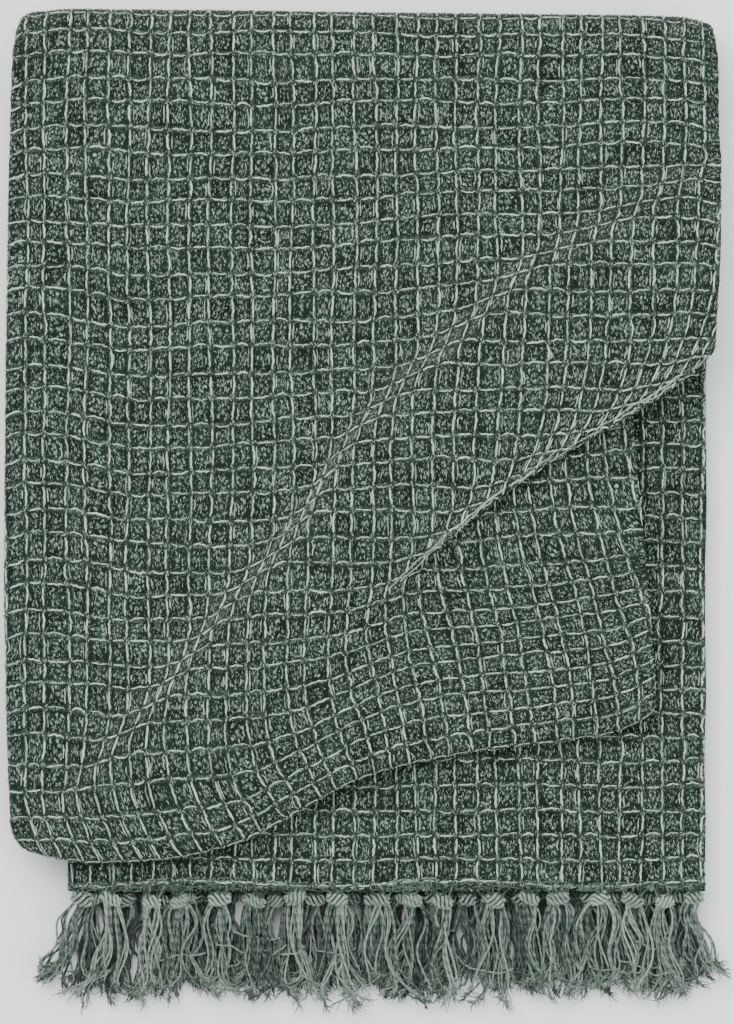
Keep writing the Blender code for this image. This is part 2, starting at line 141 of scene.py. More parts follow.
# Columns lean to the right above the pleat's right end and trail to the right near the bottom edge
SWING_SHIFT = 0.016
SWING_BAND = 0.042
TRAIL_SHIFT = 0.010
TRAIL_BAND = 0.034
CORNER_ENDS_X = -0.125

# How finely the cloth is divided: across the ply that shows and across the others, round a side fold, along
# each band and round the folds across the throw. A free edge stops at a share of the ply's width.
SHOWN_COLUMNS = 130
HIDDEN_COLUMNS = 13
SIDE_FOLD_STEPS = 5
STATION_PITCH = 0.0027
MIDDLE_PITCH = 6 * STATION_PITCH
UNDER_RINGS = 14
OUTER_FOLD_STEPS = 16
LOWER_FOLD_STEPS = 12
INNER_FOLD_STEPS = 6
FREE_EDGE = 0.975

# The weave: the size of a cell, the rows that lie between the top and the bottom edge, where P is zero, how
# the columns sway and the rows rise, how high its grid stands, and the hollows and swells of handled cloth
CELL_WIDTH = 0.01025
CELL_LENGTH = 0.0122
ROWS = 34.9
FIRST_COLUMN_X = -0.1860
COLUMN_SWAY = 0.003
ROW_RISE = 0.085
ROW_SWING = 0.010
RELIEF = 0.00034
WIDE_PUCKER = 0.00075
NARROW_PUCKER = 0.00040

# Raised yarns: how far the middle stands off the cloth and the ends dive in, how far thin ones stand off it,
# how much they wriggle and vary in girth, the sides of yarns and threads, and the threads in a cell
PROUD = 0.00030
SUNK = -0.00055
THIN_PROUD = 0.0001
WRIGGLE = 0.016
RAGGED = 0.17
YARN_SIDES = 5
THREAD_SIDES = 3
YARN_STEPS = 6
THREADS_IN_CELL = 5

# The length of one turn of each yarn's twist, and how fine its loose fibres are
RAISED_TWIST = (0.0042, 1500.0)
FRINGE_TWIST = (0.0046, 1100.0)

# The outline and the pleat, read across the folded throw
ACROSS = table(
    "x top ridge edge ahead bottom lift",
    (-0.187, 0.2455, -0.080, -0.108, 0.013, -0.1602, 0.0000),
    (-0.178, 0.2495, -0.082, -0.112, 0.013, -0.1682, 0.0006),
    (-0.165, 0.2514, -0.083, -0.116, 0.013, -0.1725, 0.0012),
    (-0.125, 0.2518, -0.077, -0.119, 0.016, -0.1748, 0.0028),
    (-0.090, 0.2515, -0.058, -0.114, 0.021, -0.1708, 0.0045),
    (-0.064, 0.2512, -0.034, -0.104, 0.025, -0.1632, 0.0062),
    (-0.039, 0.2509, -0.004, -0.086, 0.028, -0.1495, 0.0078),
    (-0.010, 0.2505, 0.034, -0.058, 0.024, -0.1335, 0.0098),
    (0.011, 0.2503, 0.060, -0.036, 0.014, -0.1272, 0.0116),
    (0.036, 0.2500, 0.085, -0.013, 0.0050, -0.1218, 0.0130),
    (0.061, 0.2497, 0.108, 0.008, 0.0030, -0.1183, 0.0136),
    (0.091, 0.2494, 0.130, 0.028, 0.0030, -0.1148, 0.0140),
    (0.121, 0.2490, 0.148, 0.0460, 0.0030, -0.1090, 0.0140),
    (0.139, 0.2486, 0.158, 0.0570, 0.0030, -0.1000, 0.0138),
    (0.156, 0.2474, 0.167, 0.0695, 0.0030, -0.0900, 0.0134),
    (0.170, 0.2435, 0.174, 0.0820, 0.0030, -0.0850, 0.0128),
)

# The side edges, read along it: of the two upper bands, of their right edge where the pleat has drawn it in,
# and of the two lower bands
ALONG = table(
    "y left right drawn_in under_left under_right",
    (-0.195, -0.1806, 0.1690, 0.1390, -0.1562, 0.1642),
    (-0.160, -0.1834, 0.1690, 0.1392, -0.1566, 0.1646),
    (-0.125, -0.1850, 0.1690, 0.1390, -0.1580, 0.1640),
    (-0.094, -0.1859, 0.1690, 0.1384, -0.1600, 0.1648),
    (-0.044, -0.1868, 0.1690, 0.1354, -0.1640, 0.1642),
    (0.000, -0.1866, 0.1690, 0.1324, -0.1680, 0.1650),
    (0.056, -0.1861, 0.1686, 0.1306, -0.1720, 0.1646),
    (0.086, -0.1858, 0.1684, 0.1300, -0.1740, 0.1650),
    (0.130, -0.1852, 0.1700, 0.1300, -0.1775, 0.1662),
    (0.180, -0.1842, 0.1702, 0.1300, -0.1805, 0.1678),
    (0.252, -0.1820, 0.1692, 0.1300, -0.1815, 0.1686),
)

# Stations along the top band, each a share of the way from one guide line to the next: how high the pleat
# lifts the cloth, how far the right edge is drawn in, and how far the lower plies retreat under the pleat
STATIONS = table(
    "line share lift drawn retreat",
    ("start", 0.00, 0.00, 0.00, 0.00),
    ("start", 0.32, 0.00, 0.00, 0.00),
    ("start", 0.60, 0.05, 0.00, 0.00),
    ("start", 0.82, 0.32, 0.00, 0.00),
    ("ridge", 0.00, 0.72, 0.00, 0.00),
    ("ridge", 0.45, 0.97, 0.00, 0.20),
    ("ridge", 0.85, 0.98, 0.00, 0.85),
    ("edge", 0.00, 0.72, 0.00, 1.00),
    ("edge", 0.50, 0.37, 0.45, 1.00),
    ("foot", 0.00, 0.04, 1.00, 1.00),
    ("foot", 0.14, 0.00, 1.00, 0.60),
    ("foot", 0.45, 0.00, 1.00, 0.00),
    ("foot", 0.75, 0.00, 1.00, 0.00),
    ("end", 0.00, 0.00, 1.00, 0.00),
)

# The knots of the row that shows: where each is tied, how far its strands lean and how far they reach
Tassel = namedtuple("Tassel", "x lean reach")
TASSELS = [Tassel(*row) for row in (
    (-0.1488, -0.0180, 0.048),
    (-0.1347, -0.0075, 0.052),
    (-0.1138, -0.0025, 0.055),
    (-0.1000, 0.0010, 0.053),
    (-0.0798, 0.0005, 0.056),
    (-0.0622, -0.0010, 0.055),
    (-0.0418, 0.0015, 0.057),
    (-0.0208, -0.0010, 0.058),
    (0.0012, 0.0010, 0.055),
    (0.0170, -0.0005, 0.058),
    (0.0322, 0.0010, 0.056),
    (0.0588, -0.0015, 0.059),
    (0.0757, 0.0010, 0.056),
    (0.0902, 0.0015, 0.054),
    (0.1112, 0.0000, 0.057),
    (0.1277, 0.0015, 0.053),
    (0.1440, 0.0040, 0.055),
    (0.1586, 0.0100, 0.048),
)]

# The rows of tassels behind and below it, with the heights of their knots and of their strands at rest.
# Their yarn's tone is lower than the shown row's: painted shade for lying behind and under it.
HIDDEN_ROWS = table(
    "count first_x last_x knot rest reach tone seed",
    (20, -0.1420, 0.1500, 0.0140, 0.0068, 0.054, 0.22, 11),
    (19, -0.1460, 0.1540, 0.0080, 0.0046, 0.052, 0.17, 23),
    (18, -0.1440, 0.1500, 0.0032, 0.0019, 0.050, 0.19, 37),
)
SHOWN_HEIGHTS = (0.0185, 0.0095)
HIDDEN_SPREAD = 0.0080

# How finely the tassels that show and the hidden ones are made: the steps of a strand and the fibres of its
# brushed tip, then the sides of a strand
SHOWN_DETAIL = (16, 11)
HIDDEN_DETAIL = (11, 4)
SHOWN_SIDES = 6
HIDDEN_SIDES = 4

# A tassel: how far below the strip its knot is tied, the yarns gathered into it and wound round it,
# its bundles of strands and how far apart they start, end and rest, where they have come down, its
# brushed tips, and the loose yarns across the whole row
KNOT_DROP = 0.0036
GATHERED = 5
WOUND = 4
WOUND_STEPS = 18
LOCKS = 3
LOCK_PITCH = 0.0026
TIP_PITCH = 0.0050
LOCK_RISE = 0.0011
FALL_LENGTH = 0.030
BRUSH_RADIUS = 0.00042
STRAYS = 16

# The threads that close the weave along the hem: their rows and the distance between them in cells
HEM_ROWS = 5
HEM_ROW_PITCH = 0.11

# The photograph's height in pixels, how many metres a pixel is, and the floor
FRAME_HEIGHT = 1024
METRES_PER_PIXEL = 0.0005
FLOOR_Z = -0.0009
FLOOR_REACH = 60.0
SENSOR_WIDTH = 36.0

# The lights' places, sizes and colours, and the even light all round
KEY_LIGHT = ((-0.35, 0.8, 2.0), 1.5, (1.0, 0.99, 0.97))
FILL_LIGHT = ((1.3, -0.7, 1.6), 1.6, (0.96, 0.98, 1.0))
SKY_COLOUR = (0.93, 0.95, 1.0, 1.0)
SKY_STRENGTH = 1.07


def smooth(x):
    x = np.clip(x, 0.0, 1.0)
    return x * x * (3 - 2 * x)


def column(rows, key, value):
    """A smooth function through one column of a table, read against another."""
    xs = np.array([getattr(row, key) for row in rows])
    ys = np.array([getattr(row, value) for row in rows])
    slopes = np.gradient(ys, xs)

    def read(at):
        at = np.clip(at, xs[0], xs[-1])
        i = np.clip(np.searchsorted(xs, at) - 1, 0, len(xs) - 2)
        step = xs[i + 1] - xs[i]
        t = (at - xs[i]) / step
        rise = ys[i + 1] - ys[i]
        bend_in = slopes[i] * step - rise
        bend_out = rise - slopes[i + 1] * step
        return ys[i] + t * rise + t * (1 - t) * ((1 - t) * bend_in + t * bend_out)

    return read


def columns(rows, key, values):
    return [column(rows, key, value) for value in values.split()]


top_y, ridge_y, edge_y, bottom_y = columns(ACROSS, "x", "top ridge edge bottom")
foot_ahead, pleat_lift = columns(ACROSS, "x", "ahead lift")
crest_y, crest_height, crest_squeeze = columns(CREST, "x", "y height squeeze")
left_x, right_x, drawn_in_x = columns(ALONG, "y", "left right drawn_in")
under_left_x, under_right_x = columns(ALONG, "y", "under_left under_right")


def start_y(x):
    return top_y(x) - OUTER_RADIUS


def foot_y(x):
    return edge_y(x) - foot_ahead(x)


def end_y(x):
    return bottom_y(x) + LOWER_RADIUS


GUIDES = {
    "start": (start_y, ridge_y),
    "ridge": (ridge_y, edge_y),
    "edge": (edge_y, foot_y),
    "foot": (foot_y, end_y),
    "end": (end_y, bottom_y),
}


def station_y(station, x):
    near, far = GUIDES[station.line]
    return near(x) + station.share * (far(x) - near(x))


class Place:
    """A place between two stations, read smoothly through the stations before and after them."""

    def __init__(self, i, t):
        picks = [min(max(i + k, 0), len(STATIONS) - 1) for k in (-1, 0, 1, 2)]
        self.stations = [STATIONS[k] for k in picks]
        t2, t3 = t * t, t * t * t
        self.weights = (
            (-t + 2 * t2 - t3) / 2,
            (2 - 5 * t2 + 3 * t3) / 2,
            (t + 4 * t2 - 3 * t3) / 2,
            (t3 - t2) / 2,
        )

    def y(self, x):
        return sum(w * station_y(s, x) for w, s in zip(self.weights, self.stations))

    def value(self, key):
        return float(np.clip(sum(w * getattr(s, key) for w, s in zip(self.weights, self.stations)), 0, 1))


def places(pitch):
    """Places along the top band, about one pitch apart."""
    samples = np.linspace(LEFT_REACH, RIGHT_REACH, 24)
    found = []
    for i in range(len(STATIONS) - 1):
        gap = np.mean(station_y(STATIONS[i], samples) - station_y(STATIONS[i + 1], samples))
        steps = max(3, math.ceil(gap / pitch))
        found += [Place(i, k / steps) for k in range(steps)]
    return found + [Place(len(STATIONS) - 2, 1.0)]


def settled(x, y, z):
    """Lets the pile sink a little towards its corners and makes it uneven. The floor stays level."""
    across = np.abs(x) / 0.18
    along = np.abs(y - 0.03) / 0.22
    corner = np.clip(across * along, 0, 1) ** 2
    waves = np.sin(23 * x + 0.7) * np.cos(17 * y - 0.4) + 0.5 * np.sin(41 * y + 31 * x)
    return z * (1 - CORNER_SETTLE * corner + UNEVEN * waves)


class Section:
    """The four plies of a band as one folded ribbon, divided finely across the ply that shows."""

    def __init__(self, shown, hidden):
        self.rows = []
        hidden_shares = list(np.linspace(0, 1, hidden))
        free_shares = [share * FREE_EDGE for share in hidden_shares]
        self.ply(reversed(free_shares), -1.5, -1)
        self.fold(0.0, 0.0, 1.5, -90, -270, 1)
        self.face_start = len(self.rows)
        self.ply(np.linspace(0, 1, shown), 1.5, 1)
        self.face_end = len(self.rows)
        self.fold(1.0, 1.0, 0.5, 90, -90, 1)
        self.ply(reversed(hidden_shares), 0.5, -1)
        self.fold(0.0, 0.0, 0.5, 90, 270, -1)
        self.ply(free_shares, -0.5, 1)
        self.count = len(self.rows)
        self.share, self.reach, self.depth, self.out_x, self.out_d = np.array(list(zip(*self.rows)))
        travel = np.concatenate(([0.0], np.cumsum(np.abs(np.diff(self.share)))))
        arcs = np.where(np.diff(self.share) == 0, np.hypot(np.diff(self.reach), np.diff(self.depth)), 0.0)
        arc = np.concatenate(([0.0], np.cumsum(arcs)))
        self.travel = travel - travel[self.face_start]
        self.arc = arc - arc[self.face_start]

    def ply(self, shares, height, side):
        for share in shares:
            self.rows.append((float(share), 0.0, height * PLY_PITCH, 0.0, side))

    def fold(self, share, centre, radius, first, last, side):
        """The points between the ends of a side fold. Its centre and radius are in ply pitches."""
        for step in range(1, SIDE_FOLD_STEPS):
            turn = math.radians(first + (last - first) * step / SIDE_FOLD_STEPS)
            reach = radius * PLY_PITCH * math.cos(turn)
            depth = (centre + radius * math.sin(turn)) * PLY_PITCH
            self.rows.append((share, reach, depth, side * math.cos(turn), side * math.sin(turn)))

    def faces(self, left, right, pull=0.0):
        """X, depth and place across the cloth of the ribbon's two faces, its outer one first."""
        near = left + HALF_BAND
        far = right - RIGHT_RADIUS
        drawn = self.share**PULL_POWER * pull
        across = near + self.travel * (far - near) + self.arc + drawn
        for half in (PLY / 2, -PLY / 2):
            x = near + self.share * (far - near) + self.reach + half * self.out_x + drawn
            yield x, self.depth + half * self.out_d, across


def lean_out(x, y, z):
    """Leans the pleat's front over its foot, more the higher it stands."""
    ahead = (edge_y(x) - y) * -PLEAT_FACES[1]
    near = 1 / (1 + (ahead / LEAN_REACH) ** 2)
    height = np.clip(z, PILE_TOP - BAND_DEPTH, PILE_TOP + 0.7 * LIFT_FULL) - (PILE_TOP + 0.7 * LIFT_FULL)
    shift = LEAN * height * near * pleat_lift(x) / LIFT_FULL * smooth((x + 0.02) / 0.05)
    return x + PLEAT_FACES[0] * shift, y + PLEAT_FACES[1] * shift, z


def clamp_x(x):
    return np.clip(x, LEFT_REACH, RIGHT_REACH)


def row_above(x, b):
    """Q above the pleat, counted down from the top edge. Rows fall a little at the left, then rise."""
    x = clamp_x(x)
    past = np.maximum(x + 0.105, 0)
    rise = 0.08 * past**2 / (past + 0.06) + 0.30 * np.maximum(-x - 0.12, 0) ** 1.3
    fade = smooth((0.250 - b) / 0.14)
    return (top_y(x) - b + rise * fade) / CELL_LENGTH


def row_below(x, b):
    """Q below the pleat, counted up from the bottom edge, whose course the rows lose further up."""
    x = clamp_x(x)
    low = bottom_y(np.maximum(x, CORNER_ENDS_X))
    rise = bottom_y(-0.11) + ROW_RISE * np.maximum(x + 0.11, 0) + ROW_SWING * smooth((x + 0.09) / 0.10)
    line = low + smooth((b - low) / 0.09) * (np.minimum(rise, low) - low)
    return ROWS - (b - line) / CELL_LENGTH


def past_crest(x, y):
    """How far a place lies past the crest, square to it."""
    return (y - crest_y(clamp_x(x))) * CREST_FACES[1]


def squeezed(x, b):
    """The cloth that the crest has taken in by this place, in metres."""
    past = past_crest(x, b) / SQUEEZE_WIDTH
    return crest_squeeze(clamp_x(x)) / (1 + np.exp(-TAKE_UP * past))


def tucked(x, b):
    """The cloth that the pleat's rolled edge has taken in by this place, in metres."""
    past = (b - edge_y(x)) * PLEAT_FACES[1] + EDGE_BAND
    strength = 0.7 * smooth((x + 0.035) / 0.07)
    return EDGE_SQUEEZE * strength / (1 + np.exp(-TAKE_UP * past / EDGE_WIDTH))


def swung(x, b):
    """How far the columns lean to the right above the pleat's right end, in metres."""
    near = np.clip(1 - (b - edge_y(x)) / SWING_BAND, 0, 1) ** 2
    return SWING_SHIFT * smooth((x - 0.02) / 0.12) * near


def trailing(x, b):
    """How far the columns trail to the right near the bottom edge, in metres."""
    low = bottom_y(np.maximum(x, CORNER_ENDS_X))
    near = np.clip(1 - (b - low) / TRAIL_BAND, 0, 1.15) ** 1.35
    return TRAIL_SHIFT * smooth((0.03 - x) / 0.09) * near


def weave_row(x, b):
    """Q of the top band. The rows that the pleat hides are taken up in its front."""
    x = clamp_x(x)
    strength = smooth((x + 0.015) / 0.055)
    width = foot_ahead(x) * strength + 0.10 * (1 - strength)
    below = smooth((edge_y(x) - b) / width + 0.5 * (1 - strength))
    taken = squeezed(x, b) * CREST_FACES[1] + tucked(x, b) * PLEAT_FACES[1]
    above = row_above(x, b) - taken / CELL_LENGTH
    return above * (1 - below) + row_below(x, b) * below


def weave_column(x, b, across):
    """P of the top band. Columns sway to the left over the pleat's roll and come back below it."""
    x = clamp_x(x)
    share = pleat_lift(x) / LIFT_FULL
    down = smooth((ridge_y(x) + 0.03 - b) / (ridge_y(x) + 0.03 - edge_y(x)))
    back = smooth((edge_y(x) - b) / (edge_y(x) - bottom_y(x)))
    taken = squeezed(x, b) * CREST_FACES[0] * (1 - 0.6 * back) + tucked(x, b) * PLEAT_FACES[0] * (1 - back)
    sway = (COLUMN_SWAY * share * down + swung(x, b)) * (1 - back) - trailing(x, b)
    return (across - FIRST_COLUMN_X + sway + taken) / CELL_WIDTH


def plain_column(across):
    return (across - FIRST_COLUMN_X) / CELL_WIDTH


def upper_ring(section, place, band):
    """The ribbon's two faces at a place of the top band (0) or the middle one (1), each with P and Q."""
    ring = []
    lift, drawn, retreat = [place.value(key) for key in ("lift", "drawn", "retreat")]
    for face in (0, 1):
        y = np.full(section.count, 0.0)
        for _ in range(5):
            pull = drawn * (drawn_in_x(y) - right_x(y))
            x, depth, across = list(section.faces(left_x(y), right_x(y), pull))[face]
            y = place.y(x)
        below = HALF_BAND - depth if band == 0 else BAND_PITCH + HALF_BAND + depth
        raised = pleat_lift(x) * lift * np.clip(1 - below / LIFT_ENDS_AT, 0, 1)
        away = PLEAT_RETREAT * retreat * below * pleat_lift(x) / LIFT_FULL
        z = PILE_TOP - below + raised
        if band == 0:
            q = weave_row(x, y)
            p = weave_column(x, y, across)
        else:
            beyond = end_y(x) - math.pi * LOWER_RADIUS - (y - end_y(x))
            q = row_below(x, beyond)
            p = weave_column(x, beyond, across)
        ring.append((*lean_out(x - away * PLEAT_FACES[0], y - away * PLEAT_FACES[1], z), p, q))
    return ring


def under_ring(section, share, band, past=0.0):
    """The ribbon's two faces in the hem (2) or ground (3) band, from the hem (0) to the folds (1)."""
    ring = []
    for face in (0, 1):
        y = np.full(section.count, HEM_Y)
        for _ in range(4):
            x, depth, across = list(section.faces(under_left_x(y), under_right_x(y)))[face]
            y = HEM_Y - past + share * (start_y(x) - HEM_Y)
        below = band * BAND_PITCH + (HALF_BAND - depth if band == 2 else HALF_BAND + depth)
        if band == 3:
            q = row_above(x, start_y(x) + math.pi * OUTER_RADIUS + start_y(x) - y)
        else:
            q = (y - HEM_Y) / CELL_LENGTH
        ring.append((x, y, PILE_TOP - below, plain_column(across), q))
    return ring


def fold_rings(section, steps, radius, height, line, edges, way, weave, corner_inset=CORNER_INSET):
    """Rings between the ends of a fold across the throw. It climbs where the way is 1, or else sinks."""
    first, last = (0.0, math.pi) if way > 0 else (math.pi, 0.0)
    for step in range(1, steps):
        share = step / steps
        angle = first + (last - first) * share
        inset = corner_inset * math.sin(angle)
        left, right = [near + share * (away - near) for near, away in zip(*edges)]
        ring = []
        for x, depth, across in section.faces(left + inset, right - inset):
            reach = radius(depth)
            z = height - reach * math.cos(angle)
            ring.append((x, line(x) + reach * math.sin(angle), z, *weave(x, angle, across)))
        yield ring


def outer_weave(x, angle, across):
    return plain_column(across), row_above(x, start_y(x) + OUTER_RADIUS * (math.pi - angle))


def lower_weave(x, angle, across):
    b = end_y(x) - LOWER_RADIUS * (math.pi - angle)
    return weave_column(x, b, across), row_below(x, b)


def inner_weave(x, angle, across):
    return plain_column(across), (start_y(x) - HEM_Y + LOWER_RADIUS * angle) / CELL_LENGTH


def sweep(section):
    """The rings of the whole ribbon, grouped by the part of the fold path that they lie on."""
    far = top_y(0.0) - OUTER_RADIUS
    low = bottom_y(0.0)
    upper = (left_x(far), right_x(far))
    under = (under_left_x(far), under_right_x(far))
    drawn = (left_x(low), drawn_in_x(low))
    inner_edge = LOWER_RADIUS - HALF_BAND
    outer_edge = OUTER_RADIUS - HALF_BAND

    yield "ground", [under_ring(section, 0.0, 3, STRIP)]
    yield "ground", [under_ring(section, share, 3) for share in np.linspace(0, 1, UNDER_RINGS)]
    outer = (lambda depth: outer_edge + depth, PILE_TOP / 2, start_y, (under, upper), 1, outer_weave)
    yield "outer fold", list(fold_rings(section, OUTER_FOLD_STEPS, *outer))
    yield "top", [upper_ring(section, place, 0) for place in places(STATION_PITCH)]
    lower = (lambda depth: inner_edge + depth, UPPER_MIDDLE, end_y, (drawn, drawn), -1, lower_weave)
    mirrored = []
    for ring in fold_rings(section, LOWER_FOLD_STEPS, *lower):
        mirrored.append([(x, 2 * end_y(x) - y, z, p, q) for x, y, z, p, q in ring])
    yield "lower fold", mirrored
    yield "middle", [upper_ring(section, place, 1) for place in reversed(places(MIDDLE_PITCH))]
    inner = (lambda depth: inner_edge - depth, PILE_TOP / 2, start_y, (upper, under), -1, inner_weave, 0.0)
    yield "inner fold", list(fold_rings(section, INNER_FOLD_STEPS, *inner))
    yield "hem", [under_ring(section, share, 2) for share in np.linspace(1, 0, UNDER_RINGS)]
    yield "hem", [under_ring(section, 0.0, 2, STRIP)]


def pucker(x, y):
    """Small hollows and swells of the handled cloth, as a height in metres."""
    wide = np.sin(61 * x + 2.3 * np.sin(37 * y)) * np.cos(53 * y + 1.9 * np.sin(43 * x))
    narrow = np.sin(171 * x - 97 * y + 2 * np.sin(83 * x)) * np.sin(141 * y + 67 * x)
    return WIDE_PUCKER * wide + NARROW_PUCKER * narrow


def crest(x, y):
    """The crease across the top, as a height in metres."""
    past = past_crest(x, y) / CREST_WIDTH
    return crest_height(clamp_x(x)) * np.exp(-np.abs(past) ** 1.5)


def uneven_weave(p, q):
    """Crowds and spreads the columns and rows as on a hand loom: wide and narrow columns take turns."""
    wave = 0.5 + 0.5 * np.sin(0.53 * p + 1.1 * np.sin(0.21 * q))
    p2 = p + 0.09 * np.cos(math.pi * p) * wave + 0.09 * np.sin(0.9 * p + 1.7 * np.sin(0.45 * q + 0.6 * p))
    q2 = q + 0.035 * np.cos(math.pi * q) + 0.10 * np.sin(0.7 * q + 1.5 * np.sin(0.5 * p + 0.4 * q))
    return p2, q2


def ridge_of(u, width=0.17):
    """1 on each line of the weave's grid and 0 between the lines."""
    off = np.abs(u - np.round(u)) / width
    return np.exp(-off * off)


class ClothGrid:
    """The cloth's two faces by ring and column: places, P and Q, and which rings each part has."""

    def __init__(self):
        self.section = Section(SHOWN_COLUMNS, HIDDEN_COLUMNS)
        outer, inner, self.spans = [], [], {}
        for part, rings in sweep(self.section):
            first = self.spans[part][0] if part in self.spans else len(outer)
            outer += [ring[0] for ring in rings]
            inner += [ring[1] for ring in rings]
            self.spans[part] = (first, len(outer))
        self.outer = self.lay(np.array(outer))
        self.inner = self.lay(np.array(inner))
        self.outer_weave = np.moveaxis(np.array(outer)[:, 3:, :], 1, 2)
        self.inner_weave = np.moveaxis(np.array(inner)[:, 3:, :], 1, 2)
        self.normals = self.normals_of(self.outer)
        for weave in (self.outer_weave, self.inner_weave):
            weave[..., 0], weave[..., 1] = uneven_weave(weave[..., 0], weave[..., 1])
        p, q = self.outer_weave[..., 0], self.outer_weave[..., 1]
        relief = RELIEF * (np.maximum(ridge_of(p), ridge_of(q)) - 0.55)
        on_floor = self.outer[..., 2] < 0.0004
        self.outer = self.outer + self.normals * np.where(on_floor, 0.0, relief)[..., None]

    def lay(self, rings):
        """Turns flat-lying X, Y and Z into places, with the pile settled and the cloth handled."""
        x, y, z = rings[:, 0, :], rings[:, 1, :], rings[:, 2, :]
        top = smooth((z - PILE_TOP * 0.45) / (PILE_TOP * 0.5))
        handled = pucker(x, y) + crest(x, y)
        return np.stack((x + MIDDLE_X, y, settled(x, y, z) + top * handled), axis=-1)

    @staticmethod
    def normals_of(points):
        along = np.gradient(points, axis=0)
        across = np.gradient(points, axis=1)
        normal = np.cross(across, along)
        return normal / np.maximum(np.linalg.norm(normal, axis=-1, keepdims=True), 1e-9)


class FaceMap:
    """Finds the place on the cloth's outer face for P and Q, in some rings and columns of the grid."""

    def __init__(self, grid, parts, columns):
        spans = [grid.spans[part] for part in parts]
        rows = slice(min(s[0] for s in spans), max(s[1] for s in spans))
        self.points = grid.outer[rows, columns].reshape(-1, 3)
        self.normals = grid.normals[rows, columns].reshape(-1, 3)
        weave = grid.outer_weave[rows, columns]
        count = weave.shape[1]
        flat = [(float(p), float(q), 0.0) for p, q in weave.reshape(-1, 2)]
        triangles = []
        for r in range(weave.shape[0] - 1):
            for c in range(count - 1):
                a, b = r * count + c, (r + 1) * count + c
                triangles += [(a, a + 1, b + 1), (a, b + 1, b)]
        self.flat = flat
        self.triangles = triangles
        self.tree = BVHTree.FromPolygons(flat, triangles, all_triangles=True)
        self.low = weave.reshape(-1, 2).min(0)
        self.high = weave.reshape(-1, 2).max(0)

    def at(self, p, q, height):
        """The place at P and Q, a height off the cloth, or None where the cloth doesn't reach."""
        _, _, index, _ = self.tree.ray_cast((p, q, 1.0), (0.0, 0.0, -1.0))
        if index is None:
            return None
        corners = self.triangles[index]
        (ax, ay, _), (bx, by, _), (cx, cy, _) = [self.flat[i] for i in corners]
        area = (bx - ax) * (cy - ay) - (cx - ax) * (by - ay)
        if abs(area) < 1e-12:
            return None
        v = ((p - ax) * (cy - ay) - (cx - ax) * (q - ay)) / area
        w = ((bx - ax) * (q - ay) - (p - ax) * (by - ay)) / area
        weights = np.array((1 - v - w, v, w))
        point = weights @ self.points[list(corners)]
        normal = weights @ self.normals[list(corners)]
        return point + normal * height


def crest_highlight_at(x, y, z):
    """How much of the crest's painted highlight a place has, from 0 to 1: a pale warm tint on the crest's
    top that stands for the light it catches.
    """
    if z < PILE_TOP * 0.8:
        return 0.0
    past = float(past_crest(x - MIDDLE_X, y)) / CREST_WIDTH
    return math.exp(-abs(past) ** 2) * float(crest_squeeze(clamp_x(x - MIDDLE_X))) / 0.0165


class Paths:
    """Lines that yarns follow, each point with a radius and each line with a tone."""

    def __init__(self):
        self.points, self.edges, self.radii, self.tones = [], [], [], []

    def add(self, points, radii, tone):
        first = len(self.points)
        self.points += [tuple(map(float, point)) for point in points]
        self.radii += [float(radius) for radius in radii]
        self.tones += [float(tone)] * len(points)
        self.edges += [(first + i, first + i + 1) for i in range(len(points) - 1)]

    def mesh(self, name):
        data = bpy.data.meshes.new(name)
        data.from_pydata(self.points, self.edges, [])
        # Each point's share of the crest's painted highlight, a pale warm tint that stands for light on the
        # crest's top
        wear = [crest_highlight_at(*point) for point in self.points]
        for key, values in (("thickness", self.radii), ("tone", self.tones), ("wear", wear)):
            data.attributes.new(key, "FLOAT", "POINT").data.foreach_set("value", values)
        return data


def fill(tree, socket, value):
    """Links a node's input to another socket, or sets its own value."""
    if isinstance(value, Maths):
        value = value.socket
    if isinstance(value, bpy.types.NodeSocket):
        tree.links.new(value, socket)
    else:
        socket.default_value = value


def add_node(tree, kind, settings=None, values=()):
    """Adds a node, sets it up, then fills its inputs by order or by name. Returns its outputs."""
    made = tree.nodes.new(kind)
    for key, value in (settings or {}).items():
        setattr(made, key, value)
    pairs = values.items() if isinstance(values, dict) else enumerate(values)
    for key, value in pairs:
        fill(tree, made.inputs[key], value)
    return made.outputs


def yarn_tree():
    """A Geometry Nodes tree that sweeps a round yarn along every line of a mesh."""
    tree = bpy.data.node_groups.new("Yarn along lines", "GeometryNodeTree")
    for name, kind in (("Geometry", "Geometry"), ("Sides", "Int"), ("Yarn", "Material")):
        tree.interface.new_socket(name, in_out="INPUT", socket_type="NodeSocket" + kind)
    tree.interface.new_socket("Geometry", in_out="OUTPUT", socket_type="NodeSocketGeometry")

    def add(kind, values=(), settings=None):
        return add_node(tree, "GeometryNode" + kind, settings, values)

    def stored(geometry, name, value, data_type):
        """Keeps a value of each point under a name, for the material."""
        settings = {"data_type": data_type, "domain": "POINT"}
        values = {"Name": name, "Geometry": geometry, "Value": value}
        return add("StoreNamedAttribute", values, settings)["Geometry"]

    given = add_node(tree, "NodeGroupInput")
    lines = add("MeshToCurve", {"Mesh": given["Geometry"]})["Curve"]
    thickness = add("InputNamedAttribute", {"Name": "thickness"}, {"data_type": "FLOAT"})["Attribute"]
    thick = add("SetCurveRadius", {"Curve": lines, "Radius": thickness})["Curve"]
    along = stored(thick, "along", add("SplineParameter")["Length"], "FLOAT")
    circle = add("CurvePrimitiveCircle", {"Radius": 1.0, "Resolution": given["Sides"]})["Curve"]
    ring = stored(circle, "turn", add("InputPosition")["Position"], "FLOAT_VECTOR")
    radius = add("InputRadius")["Radius"]
    course = {"Curve": along, "Profile Curve": ring, "Scale": radius, "Fill Caps": True}
    swept = add("CurveToMesh", course)["Mesh"]
    shade = add("SetShadeSmooth", {"Geometry": swept})["Geometry"]
    real = add("RealizeInstances", {"Geometry": shade})["Geometry"]
    finish = add("SetMaterial", {"Geometry": real, "Material": given["Yarn"]})["Geometry"]
    add_node(tree, "NodeGroupOutput", None, {"Geometry": finish})
    return tree


